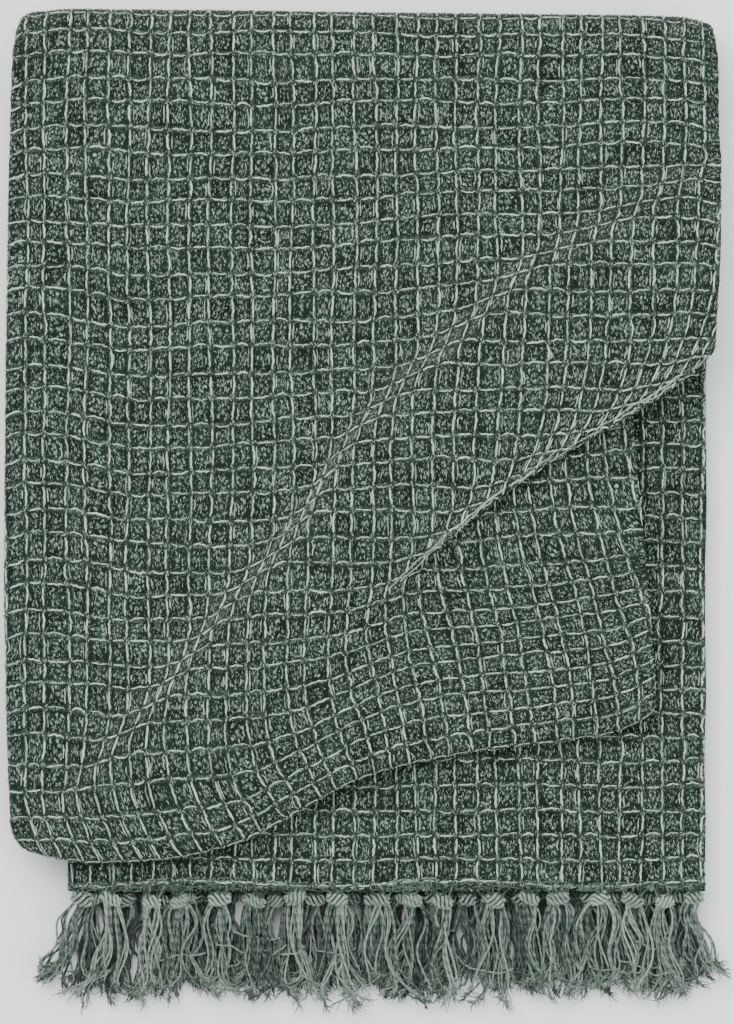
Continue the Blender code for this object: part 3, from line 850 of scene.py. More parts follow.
def linked(name, data):
    """An object of the data, in the scene."""
    item = bpy.data.objects.new(name, data)
    bpy.context.scene.collection.objects.link(item)
    return item


def sweep_yarn(name, paths, sides, material):
    """Sweeps yarn along the paths and returns the result as a plain mesh object."""
    source = linked(name + "_lines", paths.mesh(name + "_lines"))
    tree = bpy.data.node_groups.get("Yarn along lines") or yarn_tree()
    modifier = source.modifiers.new("Yarn", "NODES")
    modifier.node_group = tree
    given = {"Sides": sides, "Yarn": material}
    for item in tree.interface.items_tree:
        if item.item_type == "SOCKET" and item.in_out == "INPUT" and item.name in given:
            modifier[item.identifier] = given[item.name]
    evaluated = source.evaluated_get(bpy.context.evaluated_depsgraph_get())
    data = bpy.data.meshes.new_from_object(evaluated)
    bpy.data.objects.remove(source, do_unlink=True)
    data.name = name
    if not data.materials:
        data.materials.append(material)
    return linked(name, data)


def math_node(operation, swapped=False):
    """A method that adds a Math node of this operation to the shader."""

    def method(self, *others):
        values = (*others, self) if swapped else (self, *others)
        return Maths(self.shader, self.shader.node("Math", {"operation": operation}, values)[0])

    return method


class Maths:
    """A socket of a shader tree that takes part in plain arithmetic."""

    __add__ = __radd__ = math_node("ADD")
    __mul__ = __rmul__ = math_node("MULTIPLY")
    __sub__ = math_node("SUBTRACT")
    __rsub__ = math_node("SUBTRACT", swapped=True)
    sin = math_node("SINE")
    round = math_node("ROUND")
    floor = math_node("FLOOR")
    abs = math_node("ABSOLUTE")
    max = math_node("MAXIMUM")
    min = math_node("MINIMUM")
    power = math_node("POWER")

    def __init__(self, shader, socket):
        self.shader, self.socket = shader, socket

    def clamp(self):
        return self.max(0.0).min(1.0)

    def ramp(self, low, high):
        """0 up to low, 1 from high, and smooth between."""
        settings = {"interpolation_type": "SMOOTHSTEP"}
        return Maths(self.shader, self.shader.node("MapRange", settings, (self, low, high))[0])


class Shader:
    """A material's node tree with one Principled BSDF, and one call for any other node."""

    def __init__(self, name):
        self.material = bpy.data.materials.new(name)
        self.material.use_nodes = True
        self.tree = self.material.node_tree
        self.surface = self.tree.nodes["Principled BSDF"]

    def node(self, kind, settings=None, values=()):
        return add_node(self.tree, "ShaderNode" + kind, settings, values)

    def value(self, socket):
        return Maths(self, socket)

    def mix(self, share, first, second):
        """A colour that goes from the first to the second."""
        return self.node("Mix", {"data_type": "RGBA"}, {0: share, 6: first, 7: second})[2]

    def joined(self, x, y, z):
        return self.node("CombineXYZ", None, (x, y, z))[0]

    def noise(self, vector, scale, detail=2.0, roughness=0.5):
        values = {"Vector": vector, "Scale": scale, "Detail": detail, "Roughness": roughness}
        return self.value(self.node("TexNoise", None, values)[0])

    def attribute(self, name):
        return self.value(self.node("Attribute", {"attribute_name": name})["Fac"])

    def bump(self, height, strength, distance):
        values = {"Strength": strength, "Distance": distance, "Height": height}
        self.set("Normal", self.node("Bump", None, values)[0])

    def set(self, name, value):
        fill(self.tree, self.surface.inputs[name], value)


def cotton(shader, roughness, sheen):
    shader.set("Roughness", roughness)
    shader.set("Sheen Weight", sheen)
    shader.set("Sheen Roughness", 0.5)
    shader.set("Specular IOR Level", 0.12)


def ground_weave(colours):
    """Dark cloth of fine threads with many pale flecks, laid out on the weave's P and Q."""
    shader = Shader("ground weave")
    weave = shader.node("UVMap", {"uv_map": "weave"})[0]
    across, along = shader.node("SeparateXYZ", None, (weave,))[:2]
    p, q = shader.value(across), shader.value(along)
    off_p, off_q = p - p.round(), q - q.round()
    off_line = off_p.abs().min(off_q.abs())
    line = 1.0 - off_line.ramp(0.03, 0.15)
    beside = off_p.abs().ramp(0.06, 0.12) * (1.0 - off_p.abs().ramp(0.13, 0.22))
    middle_p, middle_q = 0.5 - off_p.abs(), 0.5 - off_q.abs()
    from_middle = (middle_p * middle_p + middle_q * middle_q).power(0.5)
    ring = 1.0 - (from_middle - 0.25).abs().ramp(0.02, 0.12)
    heart = 1.0 - from_middle.ramp(0.03, 0.12)

    bend = shader.noise(weave, 2.0, 2.0) - 0.5
    spots = shader.joined(p * 8.0 + bend * 3.0, q * 4.6, 0.0)
    cells = shader.node("TexVoronoi", None, {"Vector": spots, "Scale": 1.0, "Randomness": 0.9})
    fleck = 1.0 - shader.value(cells[0]).ramp(0.18, 0.42)
    fine = shader.joined(p * 15.0 + bend * 5.0, q * 8.5, 3.0)
    specks = shader.node("TexVoronoi", None, {"Vector": fine, "Scale": 1.0})
    small = 1.0 - shader.value(specks[0]).ramp(0.15, 0.40)
    cell = shader.joined(p.floor(), q.floor(), 0.0)
    own = shader.value(shader.node("TexWhiteNoise", {"noise_dimensions": "2D"}, {"Vector": cell})[0])
    patch = shader.noise(weave, 0.7, 3.0).ramp(0.30, 0.70)
    grain = shader.noise(shader.joined(p * 8.0, q * 4.0, 0.0), 1.0, 3.0, 0.6)
    strength = (0.30 + 0.26 * patch + 0.40 * ring + 0.30 * own) * (0.10 + 1.9 * grain)
    lit = (fleck.max(small * 0.75) * strength + heart * 0.5 * grain - 0.20 * beside).clamp()

    deep = shader.mix(patch, colours.pocket, colours.ground)
    base = shader.mix(lit, deep, colours.fleck)
    base = shader.mix(line * (0.25 + 0.75 * small) * grain * 0.55, base, colours.fleck)
    # Brownish fibres here and there, from noise, are the cloth's own colour; along the crest's top the same
    # warm colour is added as painted highlight, paler than the ground
    warm = shader.noise(weave, 3.7, 2.0).ramp(0.63, 0.72)
    wear = shader.attribute("wear")
    base = shader.mix((warm * 0.30 + wear * 0.04).clamp(), base, colours.warm)
    shader.set("Base Color", base)
    cotton(shader, 0.95, 0.02)
    shader.bump(0.8 * line + 0.55 * fleck + 0.3 * small + 0.2 * grain - 0.3 * beside, 0.9, 0.0010)
    return shader.material


def twisted_yarn(name, light, dark, warm, pitch, fuzz):
    """Two-ply cotton: a spiral groove, loose fibres, a tone of its own for each length and, on the crest, a
    warm tint that is part of the crest's painted highlight.
    """
    shader = Shader(name)
    along = shader.attribute("along")
    tone = shader.attribute("tone")
    turn = shader.node("Attribute", {"attribute_name": "turn"})["Vector"]
    side, up = shader.node("SeparateXYZ", None, (turn,))[:2]
    phase = along * (2 * math.pi / pitch)
    spiral = phase.sin() * shader.value(side) + (phase + math.pi / 2).sin() * shader.value(up)
    place = shader.node("TexCoord")[3]
    fibres = shader.noise(place, fuzz, 3.0, 0.65)
    groove = spiral.ramp(-1.0, 0.35)
    share = (0.26 * groove - 0.12 + tone + 1.1 * (fibres - 0.5)).clamp()
    # On the crest's top the yarn is tinted towards the warm colour: part of the crest's painted highlight
    wear = (shader.attribute("wear") * 0.16).clamp()
    shader.set("Base Color", shader.mix(wear, shader.mix(share, dark, light), warm))
    cotton(shader, 0.9, 0.12)
    shader.bump(0.8 * groove + 0.5 * fibres, 0.7, 0.0006)
    return shader.material


def shared_material(name, *looks):
    """The yarn's material of this name, made at its first use."""
    return bpy.data.materials.get(name) or twisted_yarn(name, *looks)


def a_colour(name, description, red, green, blue):
    return bpy.props.FloatVectorProperty(
        name=name, description=description, subtype="COLOR", size=4,
        default=(red, green, blue, 1.0), min=0.0, max=1.0,
    )


def a_length(name, description, default, low, high, precision=5):
    return bpy.props.FloatProperty(
        name=name, description=description, unit="LENGTH",
        default=default, min=low, max=high, precision=precision,
    )


def a_power(name, description, default):
    return bpy.props.FloatProperty(
        name=name, description=description, unit="POWER", default=default, min=0.0, max=1000.0
    )


def a_count(name, description, default, low, high):
    return bpy.props.IntProperty(name=name, description=description, default=default, min=low, max=high)


class ClothColours(bpy.types.PropertyGroup):
    """Colours of the woven cloth."""

    ground: a_colour("Ground", "The cloth's paler patches", 0.0105, 0.0215, 0.0150)
    pocket: a_colour("Pocket", "The cloth's darker patches", 0.0038, 0.0084, 0.0058)
    fleck: a_colour("Fleck", "Pale threads that show in the pockets", 0.240, 0.325, 0.250)
    # The warm colour is the cloth's brownish fibres here and there and, on the crest's top, a painted
    # highlight
    warm: a_colour(
        "Warm fleck", "Brownish fibres here and there, more on the crest", 0.225, 0.222, 0.180
    )
    float_light: a_colour("Raised yarn", "The pale yarns that lie on the cloth", 0.415, 0.510, 0.410)
    float_dark: a_colour("Raised yarn, shaded", "The pale yarns in their grooves", 0.060, 0.092, 0.070)


class YarnSizes(bpy.types.PropertyGroup):
    """Sizes of the raised yarns."""

    lengthwise: a_length(
        "Lengthwise yarn", "Radius of a raised yarn along the cloth", 0.00069, 0.0002, 0.003
    )
    crosswise: a_length(
        "Crosswise yarn", "Radius of a raised yarn across the cloth", 0.00060, 0.0002, 0.003
    )
    thin: a_length(
        "Thin yarn", "Radius of the thin yarns beside the raised ones", 0.00040, 0.0001, 0.002
    )
    seed: a_count("Seed", "Which of the many uneven weaves is made", 7, 0, 1000)


class FringeSizes(bpy.types.PropertyGroup):
    """Sizes and colours of the knotted fringes."""

    strands: a_count("Strands", "Yarns in each tassel of the row that shows", 15, 4, 24)
    hidden_strands: a_count("Hidden strands", "Yarns in each tassel of the rows behind", 12, 2, 16)
    yarn: a_length("Yarn", "Radius of a tassel's yarn", 0.00068, 0.0003, 0.003)
    seed: a_count("Seed", "Which of the many uneven fringes is made", 3, 0, 1000)
    light: a_colour("Yarn", "The tassels' yarn", 0.245, 0.315, 0.255)
    dark: a_colour("Yarn, shaded", "The tassels' yarn in its grooves", 0.018, 0.034, 0.027)


class StageSettings(bpy.types.PropertyGroup):
    """The floor, the lights and the camera."""

    camera_height: a_length(
        "Camera height", "How far above the floor the camera hangs", 2.4, 0.5, 10.0, 2
    )
    key_power: a_power("Key light", "Power of the large light at the upper left", 60.0)
    fill_power: a_power("Fill light", "Power of the light at the lower right", 20.0)
    floor: a_colour("Floor", "Colour of the floor", 0.86, 0.865, 0.88)


# The cloth's grid and the shown pieces, kept from one operator to the next
built = {}


def finished(piece):
    """Lets a piece ride on the throw's body and keeps it with the built pieces."""
    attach(piece, "root")
    built[piece.name] = piece
    return piece


class THROW_OT_woven_cloth(bpy.types.Operator):
    """Lay the woven cloth in its folds"""

    bl_idname = "throw.woven_cloth"
    bl_label = "Woven Cloth"

    def execute(self, context):
        grid = ClothGrid()
        built["grid"] = grid
        rings, count = grid.outer.shape[:2]
        points = np.concatenate((grid.outer.reshape(-1, 3), grid.inner.reshape(-1, 3)))
        weave = np.concatenate((grid.outer_weave.reshape(-1, 2), grid.inner_weave.reshape(-1, 2)))
        total = rings * count
        faces = []
        for r in range(rings - 1):
            for c in range(count - 1):
                a, b = r * count + c, (r + 1) * count + c
                faces.append((a, a + 1, b + 1, b))
                faces.append((total + a, total + b, total + b + 1, total + a + 1))
            first, last = r * count, r * count + count - 1
            faces.append((total + first, first, first + count, total + first + count))
            faces.append((last, total + last, total + last + count, last + count))
        for r in (0, rings - 1):
            for c in range(count - 1):
                a = r * count + c
                face = (a + 1, a, total + a, total + a + 1)
                faces.append(face if r == 0 else face[::-1])
        data = bpy.data.meshes.new("woven_sheet")
        data.from_pydata(points.tolist(), [], faces)
        data.update()
        corners = np.zeros(len(data.loops), dtype=np.int32)
        data.loops.foreach_get("vertex_index", corners)
        layer = data.uv_layers.new(name="weave")
        layer.data.foreach_set("uv", weave[corners].astype(np.float32).ravel())
        # Each point's share of the crest's painted highlight
        wear = [crest_highlight_at(*point) for point in points.tolist()]
        data.attributes.new("wear", "FLOAT", "POINT").data.foreach_set("value", wear)
        data.shade_smooth()
        data.materials.append(ground_weave(context.scene.throw_cloth))
        sheet = linked("woven_sheet", data)
        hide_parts("woven_cloth")
        finished(sheet)
        return {"FINISHED"}


def lay_yarn(paths, face, ends, bow, radius, tone, steps=YARN_STEPS, proud=PROUD):
    """Lays one raised yarn between two places in P and Q. It bows to the side and dives in at its ends."""
    (p0, q0), (p1, q1) = ends
    reach = math.hypot(p1 - p0, q1 - q0) or 1.0
    points, radii = [], []
    for i in range(steps):
        t = i / (steps - 1)
        swell = math.sin(math.pi * t) ** 0.6
        side = bow * math.sin(math.pi * t) + WRIGGLE * math.sin(3.7 * i + 23 * p0 + 41 * q0)
        p = p0 + (p1 - p0) * t + side * (q1 - q0) / reach
        q = q0 + (q1 - q0) * t - side * (p1 - p0) / reach
        point = face.at(p, q, SUNK + (proud - SUNK) * swell)
        if point is None:
            return
        points.append(point)
        ragged = 1 + RAGGED * math.sin(2.4 * i + 31 * p0 + 17 * q0)
        radii.append(radius * ragged * (0.45 + 0.55 * swell))
    paths.add(points, radii, tone)


def cells_of(face):
    """The crossings of the weave that a face map covers."""
    for i in range(math.floor(face.low[0]), math.ceil(face.high[0]) + 1):
        for j in range(math.floor(face.low[1]), math.ceil(face.high[1]) + 1):
            yield i, j


def lengthwise_yarns(paths, face, sizes, seed, steps=YARN_STEPS):
    """Lays a raised yarn along each cell's side, and a thin one beside some of them."""
    draw = random.Random(seed)
    for i, j in cells_of(face):
        sway = draw.uniform(-0.05, 0.05)
        far_sway = draw.uniform(-0.06, 0.06)
        ends = ((i + sway, j + draw.uniform(0.11, 0.20)), (i + far_sway, j + draw.uniform(0.78, 0.89)))
        radius = sizes.lengthwise * draw.uniform(0.72, 1.12)
        lay_yarn(paths, face, ends, draw.uniform(-0.07, 0.07), radius, draw.uniform(0.45, 1.05), steps)
        if draw.random() < 0.55:
            beside = draw.uniform(0.14, 0.20) * draw.choice((-1, 1))
            near, far = draw.uniform(0.1, 0.4), draw.uniform(0.55, 0.9)
            ends = ((i + sway + beside, j + near), (i + beside, j + far))
            bow, tone = draw.uniform(-0.05, 0.05), draw.uniform(0.1, 0.75)
            lay_yarn(paths, face, ends, bow, sizes.thin, tone, 4, THIN_PROUD)


def crosswise_yarns(paths, face, sizes, seed, steps=YARN_STEPS):
    """Lays a raised yarn across each cell's end."""
    draw = random.Random(seed)
    for i, j in cells_of(face):
        near_sway, far_sway = draw.uniform(-0.06, 0.06), draw.uniform(-0.06, 0.06)
        ends = ((i + draw.uniform(0.14, 0.22), j + near_sway), (i + draw.uniform(0.78, 0.88), j + far_sway))
        radius = sizes.crosswise * draw.uniform(0.70, 1.12)
        lay_yarn(paths, face, ends, draw.uniform(-0.08, 0.08), radius, draw.uniform(0.35, 1.05), steps)


def pocket_threads(paths, face, sizes, seed):
    """Lays short thin threads in each cell, round its middle and at its crossing."""
    draw = random.Random(seed)
    for i, j in cells_of(face):
        first = draw.uniform(0, 2 * math.pi)
        for k in range(THREADS_IN_CELL):
            turn = first + 2 * math.pi * k / (THREADS_IN_CELL - 1) + draw.uniform(-0.4, 0.4)
            reach = draw.uniform(0.15, 0.27) if k else draw.uniform(0.0, 0.05)
            at_p, at_q = i + 0.5 + reach * math.cos(turn), j + 0.5 + 1.1 * reach * math.sin(turn)
            ends = ((at_p, at_q - 0.07), (at_p + draw.uniform(-0.06, 0.06), at_q + draw.uniform(0.04, 0.10)))
            lay_yarn(paths, face, ends, 0.0, sizes.thin * 0.82, draw.uniform(0.0, 0.85), 3, THIN_PROUD)
        for _ in range(draw.choice((2, 3, 3))):
            at_p, at_q = i + draw.uniform(-0.13, 0.13), j + draw.uniform(-0.12, 0.12)
            slant = draw.uniform(-0.05, 0.05)
            ends = ((at_p - slant, at_q - 0.055), (at_p + slant, at_q + 0.055))
            lay_yarn(paths, face, ends, 0.0, sizes.thin * 1.05, draw.uniform(0.25, 0.95), 3, 2 * THIN_PROUD)


def add_thread(paths, draw, points, radius, thickest, tones, paler=0.0):
    """Adds a thread with a girth and tone of its own, unless too little of it lies on the cloth."""
    points = [point for point in points if point is not None]
    if len(points) > 2:
        radii = [radius * draw.uniform(0.9, thickest)] * len(points)
        paths.add(points, radii, draw.uniform(*tones) + paler)


def edge_cords(paths, face, sizes, seed):
    """Lays the long yarns that gather along the pleat's edge."""
    draw = random.Random(seed)
    for k in range(2):
        x = draw.uniform(0.0, 0.03)
        while x < RIGHT_REACH - 0.014:
            far = min(x + draw.uniform(0.012, 0.030), RIGHT_REACH - 0.006)
            points = []
            for step in range(9):
                at_x = x + (far - x) * step / 8
                at_y = edge_y(at_x) + 0.0012 + 0.0020 * k + draw.uniform(-0.0008, 0.0008)
                p, q = uneven_weave(weave_column(at_x, at_y, at_x), weave_row(at_x, at_y))
                points.append(face.at(float(p), float(q), draw.uniform(-0.0002, 0.0003)))
            add_thread(paths, draw, points, sizes.thin, 1.35, (0.25, 0.85))
            x = far + draw.uniform(0.000, 0.012)


def outer_face(parts):
    """A face map of some parts of the cloth, with the folds on both sides of the ply that shows."""
    grid = built["grid"]
    first = grid.section.face_start - SIDE_FOLD_STEPS - 1
    return FaceMap(grid, parts, slice(first, grid.section.face_end + SIDE_FOLD_STEPS))


def yarn_piece(context, name, paths, sides):
    """Sweeps raised yarns as one finished piece of the cloth."""
    colours = context.scene.throw_cloth
    tones = [tuple(tone) for tone in (colours.float_light, colours.float_dark, colours.warm)]
    material = shared_material("raised yarn", *tones, *RAISED_TWIST)
    finished(sweep_yarn(name, paths, sides, material))


class THROW_OT_face_yarns(bpy.types.Operator):
    """Lay the raised yarns on the top of the cloth and round its folds"""

    bl_idname = "throw.face_yarns"
    bl_label = "Face Yarns"

    def execute(self, context):
        sizes = context.scene.throw_yarns
        face = outer_face(("outer fold", "top", "lower fold"))
        lengthwise, crosswise, threads = Paths(), Paths(), Paths()
        lengthwise_yarns(lengthwise, face, sizes, sizes.seed)
        crosswise_yarns(crosswise, face, sizes, sizes.seed + 1)
        pocket_threads(threads, face, sizes, sizes.seed + 2)
        edge_cords(crosswise, face, sizes, sizes.seed + 9)
        yarn_piece(context, "lengthwise_yarns", lengthwise, YARN_SIDES)
        yarn_piece(context, "crosswise_yarns", crosswise, YARN_SIDES)
        yarn_piece(context, "pocket_threads", threads, THREAD_SIDES)
        return {"FINISHED"}


class Uncovered:
    """A face map that leaves out what the folded packet covers."""

    def __init__(self, face):
        self.face, self.low, self.high = face, face.low, face.high

    def at(self, p, q, height):
        point = self.face.at(p, q, height)
        if point is None:
            return None
        x, y = point[0] - MIDDLE_X, point[1]
        below = y < bottom_y(clamp_x(x)) + 0.014
        beside = x > drawn_in_x(y) - 0.012 and y < edge_y(clamp_x(x)) + 0.01
        rim = x > under_right_x(y) - 0.004 or x < under_left_x(y) + 0.006
        return point if below or beside or rim else None


class THROW_OT_hem_yarns(bpy.types.Operator):
    """Lay the raised yarns on the band with the hem, and the last threads along its edge"""

    bl_idname = "throw.hem_yarns"
    bl_label = "Hem Yarns"

    def execute(self, context):
        sizes = context.scene.throw_yarns
        face = Uncovered(outer_face(("hem",)))
        paths, threads = Paths(), Paths()
        lengthwise_yarns(paths, face, sizes, sizes.seed + 3)
        crosswise_yarns(paths, face, sizes, sizes.seed + 4)
        pocket_threads(threads, face, sizes, sizes.seed + 5)
        edge_threads(paths, face, sizes, sizes.seed + 6)
        yarn_piece(context, "hem_yarns", paths, YARN_SIDES)
        yarn_piece(context, "hem_threads", threads, THREAD_SIDES)
        return {"FINISHED"}


def edge_threads(paths, face, sizes, seed):
    """Lays the wavy threads that close the weave along the hem."""
    draw = random.Random(seed)
    last_q = -STRIP / CELL_LENGTH
    for row in range(HEM_ROWS):
        base = last_q + 0.03 + HEM_ROW_PITCH * row
        p = face.low[0]
        while p < face.high[0]:
            length = draw.uniform(0.7, 2.6)
            points = []
            for k in range(8):
                at_q = max(base + draw.uniform(-0.045, 0.045), last_q + 0.01)
                points.append(face.at(p + length * k / 7, at_q, draw.uniform(-0.0001, 0.0006)))
            add_thread(paths, draw, points, sizes.thin, 1.4, (-1.0, 0.1), 0.12 * row)
            p += length * draw.uniform(0.9, 1.5)


class THROW_OT_under_yarns(bpy.types.Operator):
    """Lay the raised yarns on the underside of the cloth"""

    bl_idname = "throw.under_yarns"
    bl_label = "Under Yarns"

    def execute(self, context):
        sizes = context.scene.throw_yarns
        face = outer_face(("ground",))
        paths = Paths()
        lengthwise_yarns(paths, face, sizes, sizes.seed + 7, 4)
        crosswise_yarns(paths, face, sizes, sizes.seed + 8, 4)
        for i, (x, y, z) in enumerate(paths.points):
            paths.points[i] = (x, y, max(z, paths.radii[i] - 0.0002))
        yarn_piece(context, "under_yarns", paths, THREAD_SIDES)
        return {"FINISHED"}


def on_pile(x, y, z, up=0.0, least=0.0):
    """A place that settles with the pile, no lower than the least height."""
    height = float(settled(np.float64(x), np.float64(y), np.float64(z)))
    return x + MIDDLE_X, y, max(height + up, least)


class Lock:
    """A twisted bundle of a tassel's yarns: its middle swings to one side and its end turns away."""

    def __init__(self, draw, start, tip_x, reach, heights):
        self.x, self.y = start
        self.tip_x, self.reach = tip_x, reach
        self.neck_z, self.rest_z = heights
        self.bulge = draw.uniform(-0.0060, 0.0060)
        self.snake = draw.uniform(-0.0026, 0.0026)
        self.turn_away = draw.uniform(-0.0110, 0.0110)
        self.hook = draw.uniform(0.0, 0.55)
        self.twist = draw.choice((-1, 1)) * draw.uniform(0.3, 1.0)
        self.girth = draw.uniform(0.0024, 0.0040)

    def at(self, t, angle, share):
        """A place in the bundle, from its knot (0) to its tip (1)."""
        end = max(t - 0.66, 0) / 0.34
        x = self.x + (self.tip_x - self.x) * t + self.bulge * math.sin(math.pi * t**0.9)
        x += self.snake * math.sin(3 * math.pi * t) + self.turn_away * end * end
        y = self.y - self.reach * (t - self.hook * 0.34 * end * end)
        spread = self.girth * share * (0.20 + 0.80 * math.sin(math.pi * min(t * 0.75 + 0.04, 1)))
        turn = angle + 2 * math.pi * self.twist * t
        fallen = min(t * self.reach / FALL_LENGTH, 1.0)
        z = self.neck_z + (self.rest_z - self.neck_z) * fallen * fallen * (3 - 2 * fallen)
        return x + spread * math.cos(turn), y, z + 0.45 * spread * math.sin(turn)


def add_strand(paths, draw, lock, length, radius, tone, steps):
    """One yarn of a lock, with a wander of its own. Returns its last two points."""
    angle, share = draw.uniform(0, 2 * math.pi), draw.uniform(0.45, 1.25)
    beat, shift = draw.uniform(0.8, 2.0), draw.uniform(0, 2 * math.pi)
    sway = draw.uniform(0.0005, 0.0019)
    points, radii = [], []
    for i in range(steps):
        t = length * i / (steps - 1)
        x, y, z = lock.at(t, angle, share)
        wander = sway * (0.2 + t)
        x += wander * math.sin(2 * math.pi * beat * t + shift)
        y += 0.7 * wander * math.cos(2 * math.pi * beat * 1.3 * t + shift)
        points.append(on_pile(x, y, z, least=radius))
        radii.append(radius * (1 - 0.25 * t * t))
    paths.add(points, radii, tone)
    return points[-1], points[-2]


def add_brush(paths, draw, tip, before, count, tone):
    """The unravelled end of a strand: fine fibres that spread like a brush."""
    ahead = (Vector(tip) - Vector(before)).normalized()
    for _ in range(count):
        reach = draw.uniform(0.0028, 0.0066)
        point = Vector(tip) - ahead * draw.uniform(0.0005, 0.0060)
        side = Vector((draw.gauss(0, 1), draw.gauss(0, 1), draw.gauss(0, 0.5)))
        course = (ahead + side * 0.34).normalized()
        points, radii = [], []
        for i in range(4):
            points.append((point.x, point.y, max(point.z, 0.0004)))
            radii.append(BRUSH_RADIUS * (1 - 0.18 * i))
            curl = Vector((draw.uniform(-1, 1), draw.uniform(-1, 1), draw.uniform(-0.6, 0.2)))
            course = (course + 0.38 * curl).normalized()
            point = point + course * reach / 3
        paths.add(points, radii, min(1.0, tone + draw.uniform(-0.35, 0.45)))


def add_knot(paths, draw, place, length, girth, radius, tone):
    """An overhand knot: a short roll of yarns that wind slantwise round its length."""
    x, y, z = place
    lean = draw.uniform(-0.5, 0.5)
    slant = draw.choice((-1, 1))
    pitch = draw.uniform(0.0072, 0.0110)
    for k in range(WOUND):
        points = []
        for i in range(WOUND_STEPS):
            along = length * (i / (WOUND_STEPS - 1) - 0.5)
            plump = math.sqrt(max(1 - (along / (0.56 * length)) ** 2, 0.04))
            turn = 2 * math.pi * (slant * along / pitch + k / WOUND)
            across = girth * plump * math.sin(turn)
            up = 0.72 * girth * plump * math.cos(turn)
            px = x + along * math.cos(lean) - across * math.sin(lean)
            py = y + along * math.sin(lean) + across * math.cos(lean)
            points.append(on_pile(px, py, z, up, radius))
        paths.add(points, [radius] * WOUND_STEPS, min(1.1, tone + draw.uniform(-0.08, 0.12)))


def add_gather(paths, draw, place, spread, radius, tone):
    """The warp yarns that run from the cloth's edge into a knot, slack and crossing."""
    x, y, z = place
    for k in range(GATHERED):
        side = (2 * k - GATHERED + 1) / (GATHERED - 1)
        start = x + side * spread + draw.uniform(-0.0016, 0.0016)
        finish = x + draw.uniform(-0.0035, 0.0035)
        sag = draw.uniform(-0.0012, 0.0012)
        points = []
        for i in range(6):
            t = i / 5
            px = start + (finish - start) * t + sag * math.sin(math.pi * t)
            py = HEM_Y - 0.0006 + (y - HEM_Y + 0.0006) * t
            pz = z + 0.0003 + 0.0016 * math.sin(math.pi * t) + draw.uniform(0, 0.0003)
            points.append(on_pile(px, py, pz))
        paths.add(points, [radius] * len(points), tone + draw.uniform(-0.60, -0.10))


def add_tassel(paths, frays, draw, tassel, heights, spread, sizes, count, tone, detail):
    """A knot with its strands, from the cloth's edge to their brushed tips."""
    z, rest = heights
    steps, fibres = detail
    knot_y = HEM_Y - STRIP - KNOT_DROP + draw.uniform(-0.0016, 0.0012)
    knot = (tassel.x, knot_y, z)
    add_gather(paths, draw, knot, spread, sizes.yarn * 0.8, tone - 0.10)
    length, girth = draw.uniform(0.0078, 0.0108), draw.uniform(0.0026, 0.0036)
    add_knot(paths, draw, knot, length, girth, sizes.yarn * 1.25, tone + draw.uniform(0.05, 0.42))
    locks = []
    for k in range(LOCKS):
        side = k - (LOCKS - 1) / 2
        start = (tassel.x + side * LOCK_PITCH, knot_y - 0.0006)
        tip_x = tassel.x + tassel.lean + side * TIP_PITCH + draw.uniform(-0.0040, 0.0040)
        reach = tassel.reach - draw.uniform(0.0, 0.007)
        locks.append(Lock(draw, start, tip_x, reach, (z - 0.0006, rest + LOCK_RISE * k)))
    for k in range(count):
        lock = locks[k % LOCKS]
        shade = tone + draw.uniform(-0.48, 0.32)
        radius = sizes.yarn * draw.uniform(0.70, 1.0)
        tip, before = add_strand(paths, draw, lock, draw.uniform(0.80, 1.0), radius, shade, steps)
        add_brush(frays, draw, tip, before, fibres, shade)


def add_stray(paths, draw, radius):
    """A loose yarn that has slipped out and lies across the tassels."""
    x, y = draw.uniform(-0.150, 0.150), draw.uniform(-0.236, -0.206)
    length, drop = draw.uniform(0.010, 0.026) * draw.choice((-1, 1)), draw.uniform(-0.006, 0.003)
    sag, height = draw.uniform(-0.004, 0.001), draw.uniform(0.0125, 0.0150)
    points = []
    for i in range(10):
        t = i / 9
        px = x + length * t
        py = y + drop * t + sag * math.sin(math.pi * t) + 0.0006 * math.sin(9 * t + 40 * x)
        points.append(on_pile(px, py, height - 0.003 * t))
    paths.add(points, [radius] * len(points), draw.uniform(0.1, 0.7))


def fringe_piece(context, name, paths, sides):
    """Sweeps yarns as one finished piece of a fringe."""
    sizes, colours = context.scene.throw_fringe, context.scene.throw_cloth
    tones = [tuple(tone) for tone in (sizes.light, sizes.dark, colours.warm)]
    material = shared_material("fringe yarn", *tones, *FRINGE_TWIST)
    return finished(sweep_yarn(name, paths, sides, material))


class THROW_OT_upper_fringe(bpy.types.Operator):
    """Knot the row of tassels that shows"""

    bl_idname = "throw.upper_fringe"
    bl_label = "Upper Fringe"

    def execute(self, context):
        sizes = context.scene.throw_fringe
        draw = random.Random(sizes.seed)
        paths, frays = Paths(), Paths()
        for i, tassel in enumerate(TASSELS):
            left = tassel.x - TASSELS[i - 1].x if i else 0.014
            right = TASSELS[i + 1].x - tassel.x if i + 1 < len(TASSELS) else 0.013
            spread = min(0.48 * min(left, right), 0.0085)
            tone = draw.uniform(0.30, 0.56)
            add_tassel(
                paths, frays, draw, tassel, SHOWN_HEIGHTS, spread, sizes, sizes.strands, tone, SHOWN_DETAIL
            )
        for _ in range(STRAYS):
            add_stray(paths, draw, sizes.yarn * 0.7)
        strands = fringe_piece(context, "upper_tassels", paths, SHOWN_SIDES)
        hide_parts("upper_fringe")
        fringe_piece(context, "upper_frays", frays, THREAD_SIDES)
        return {"FINISHED"}


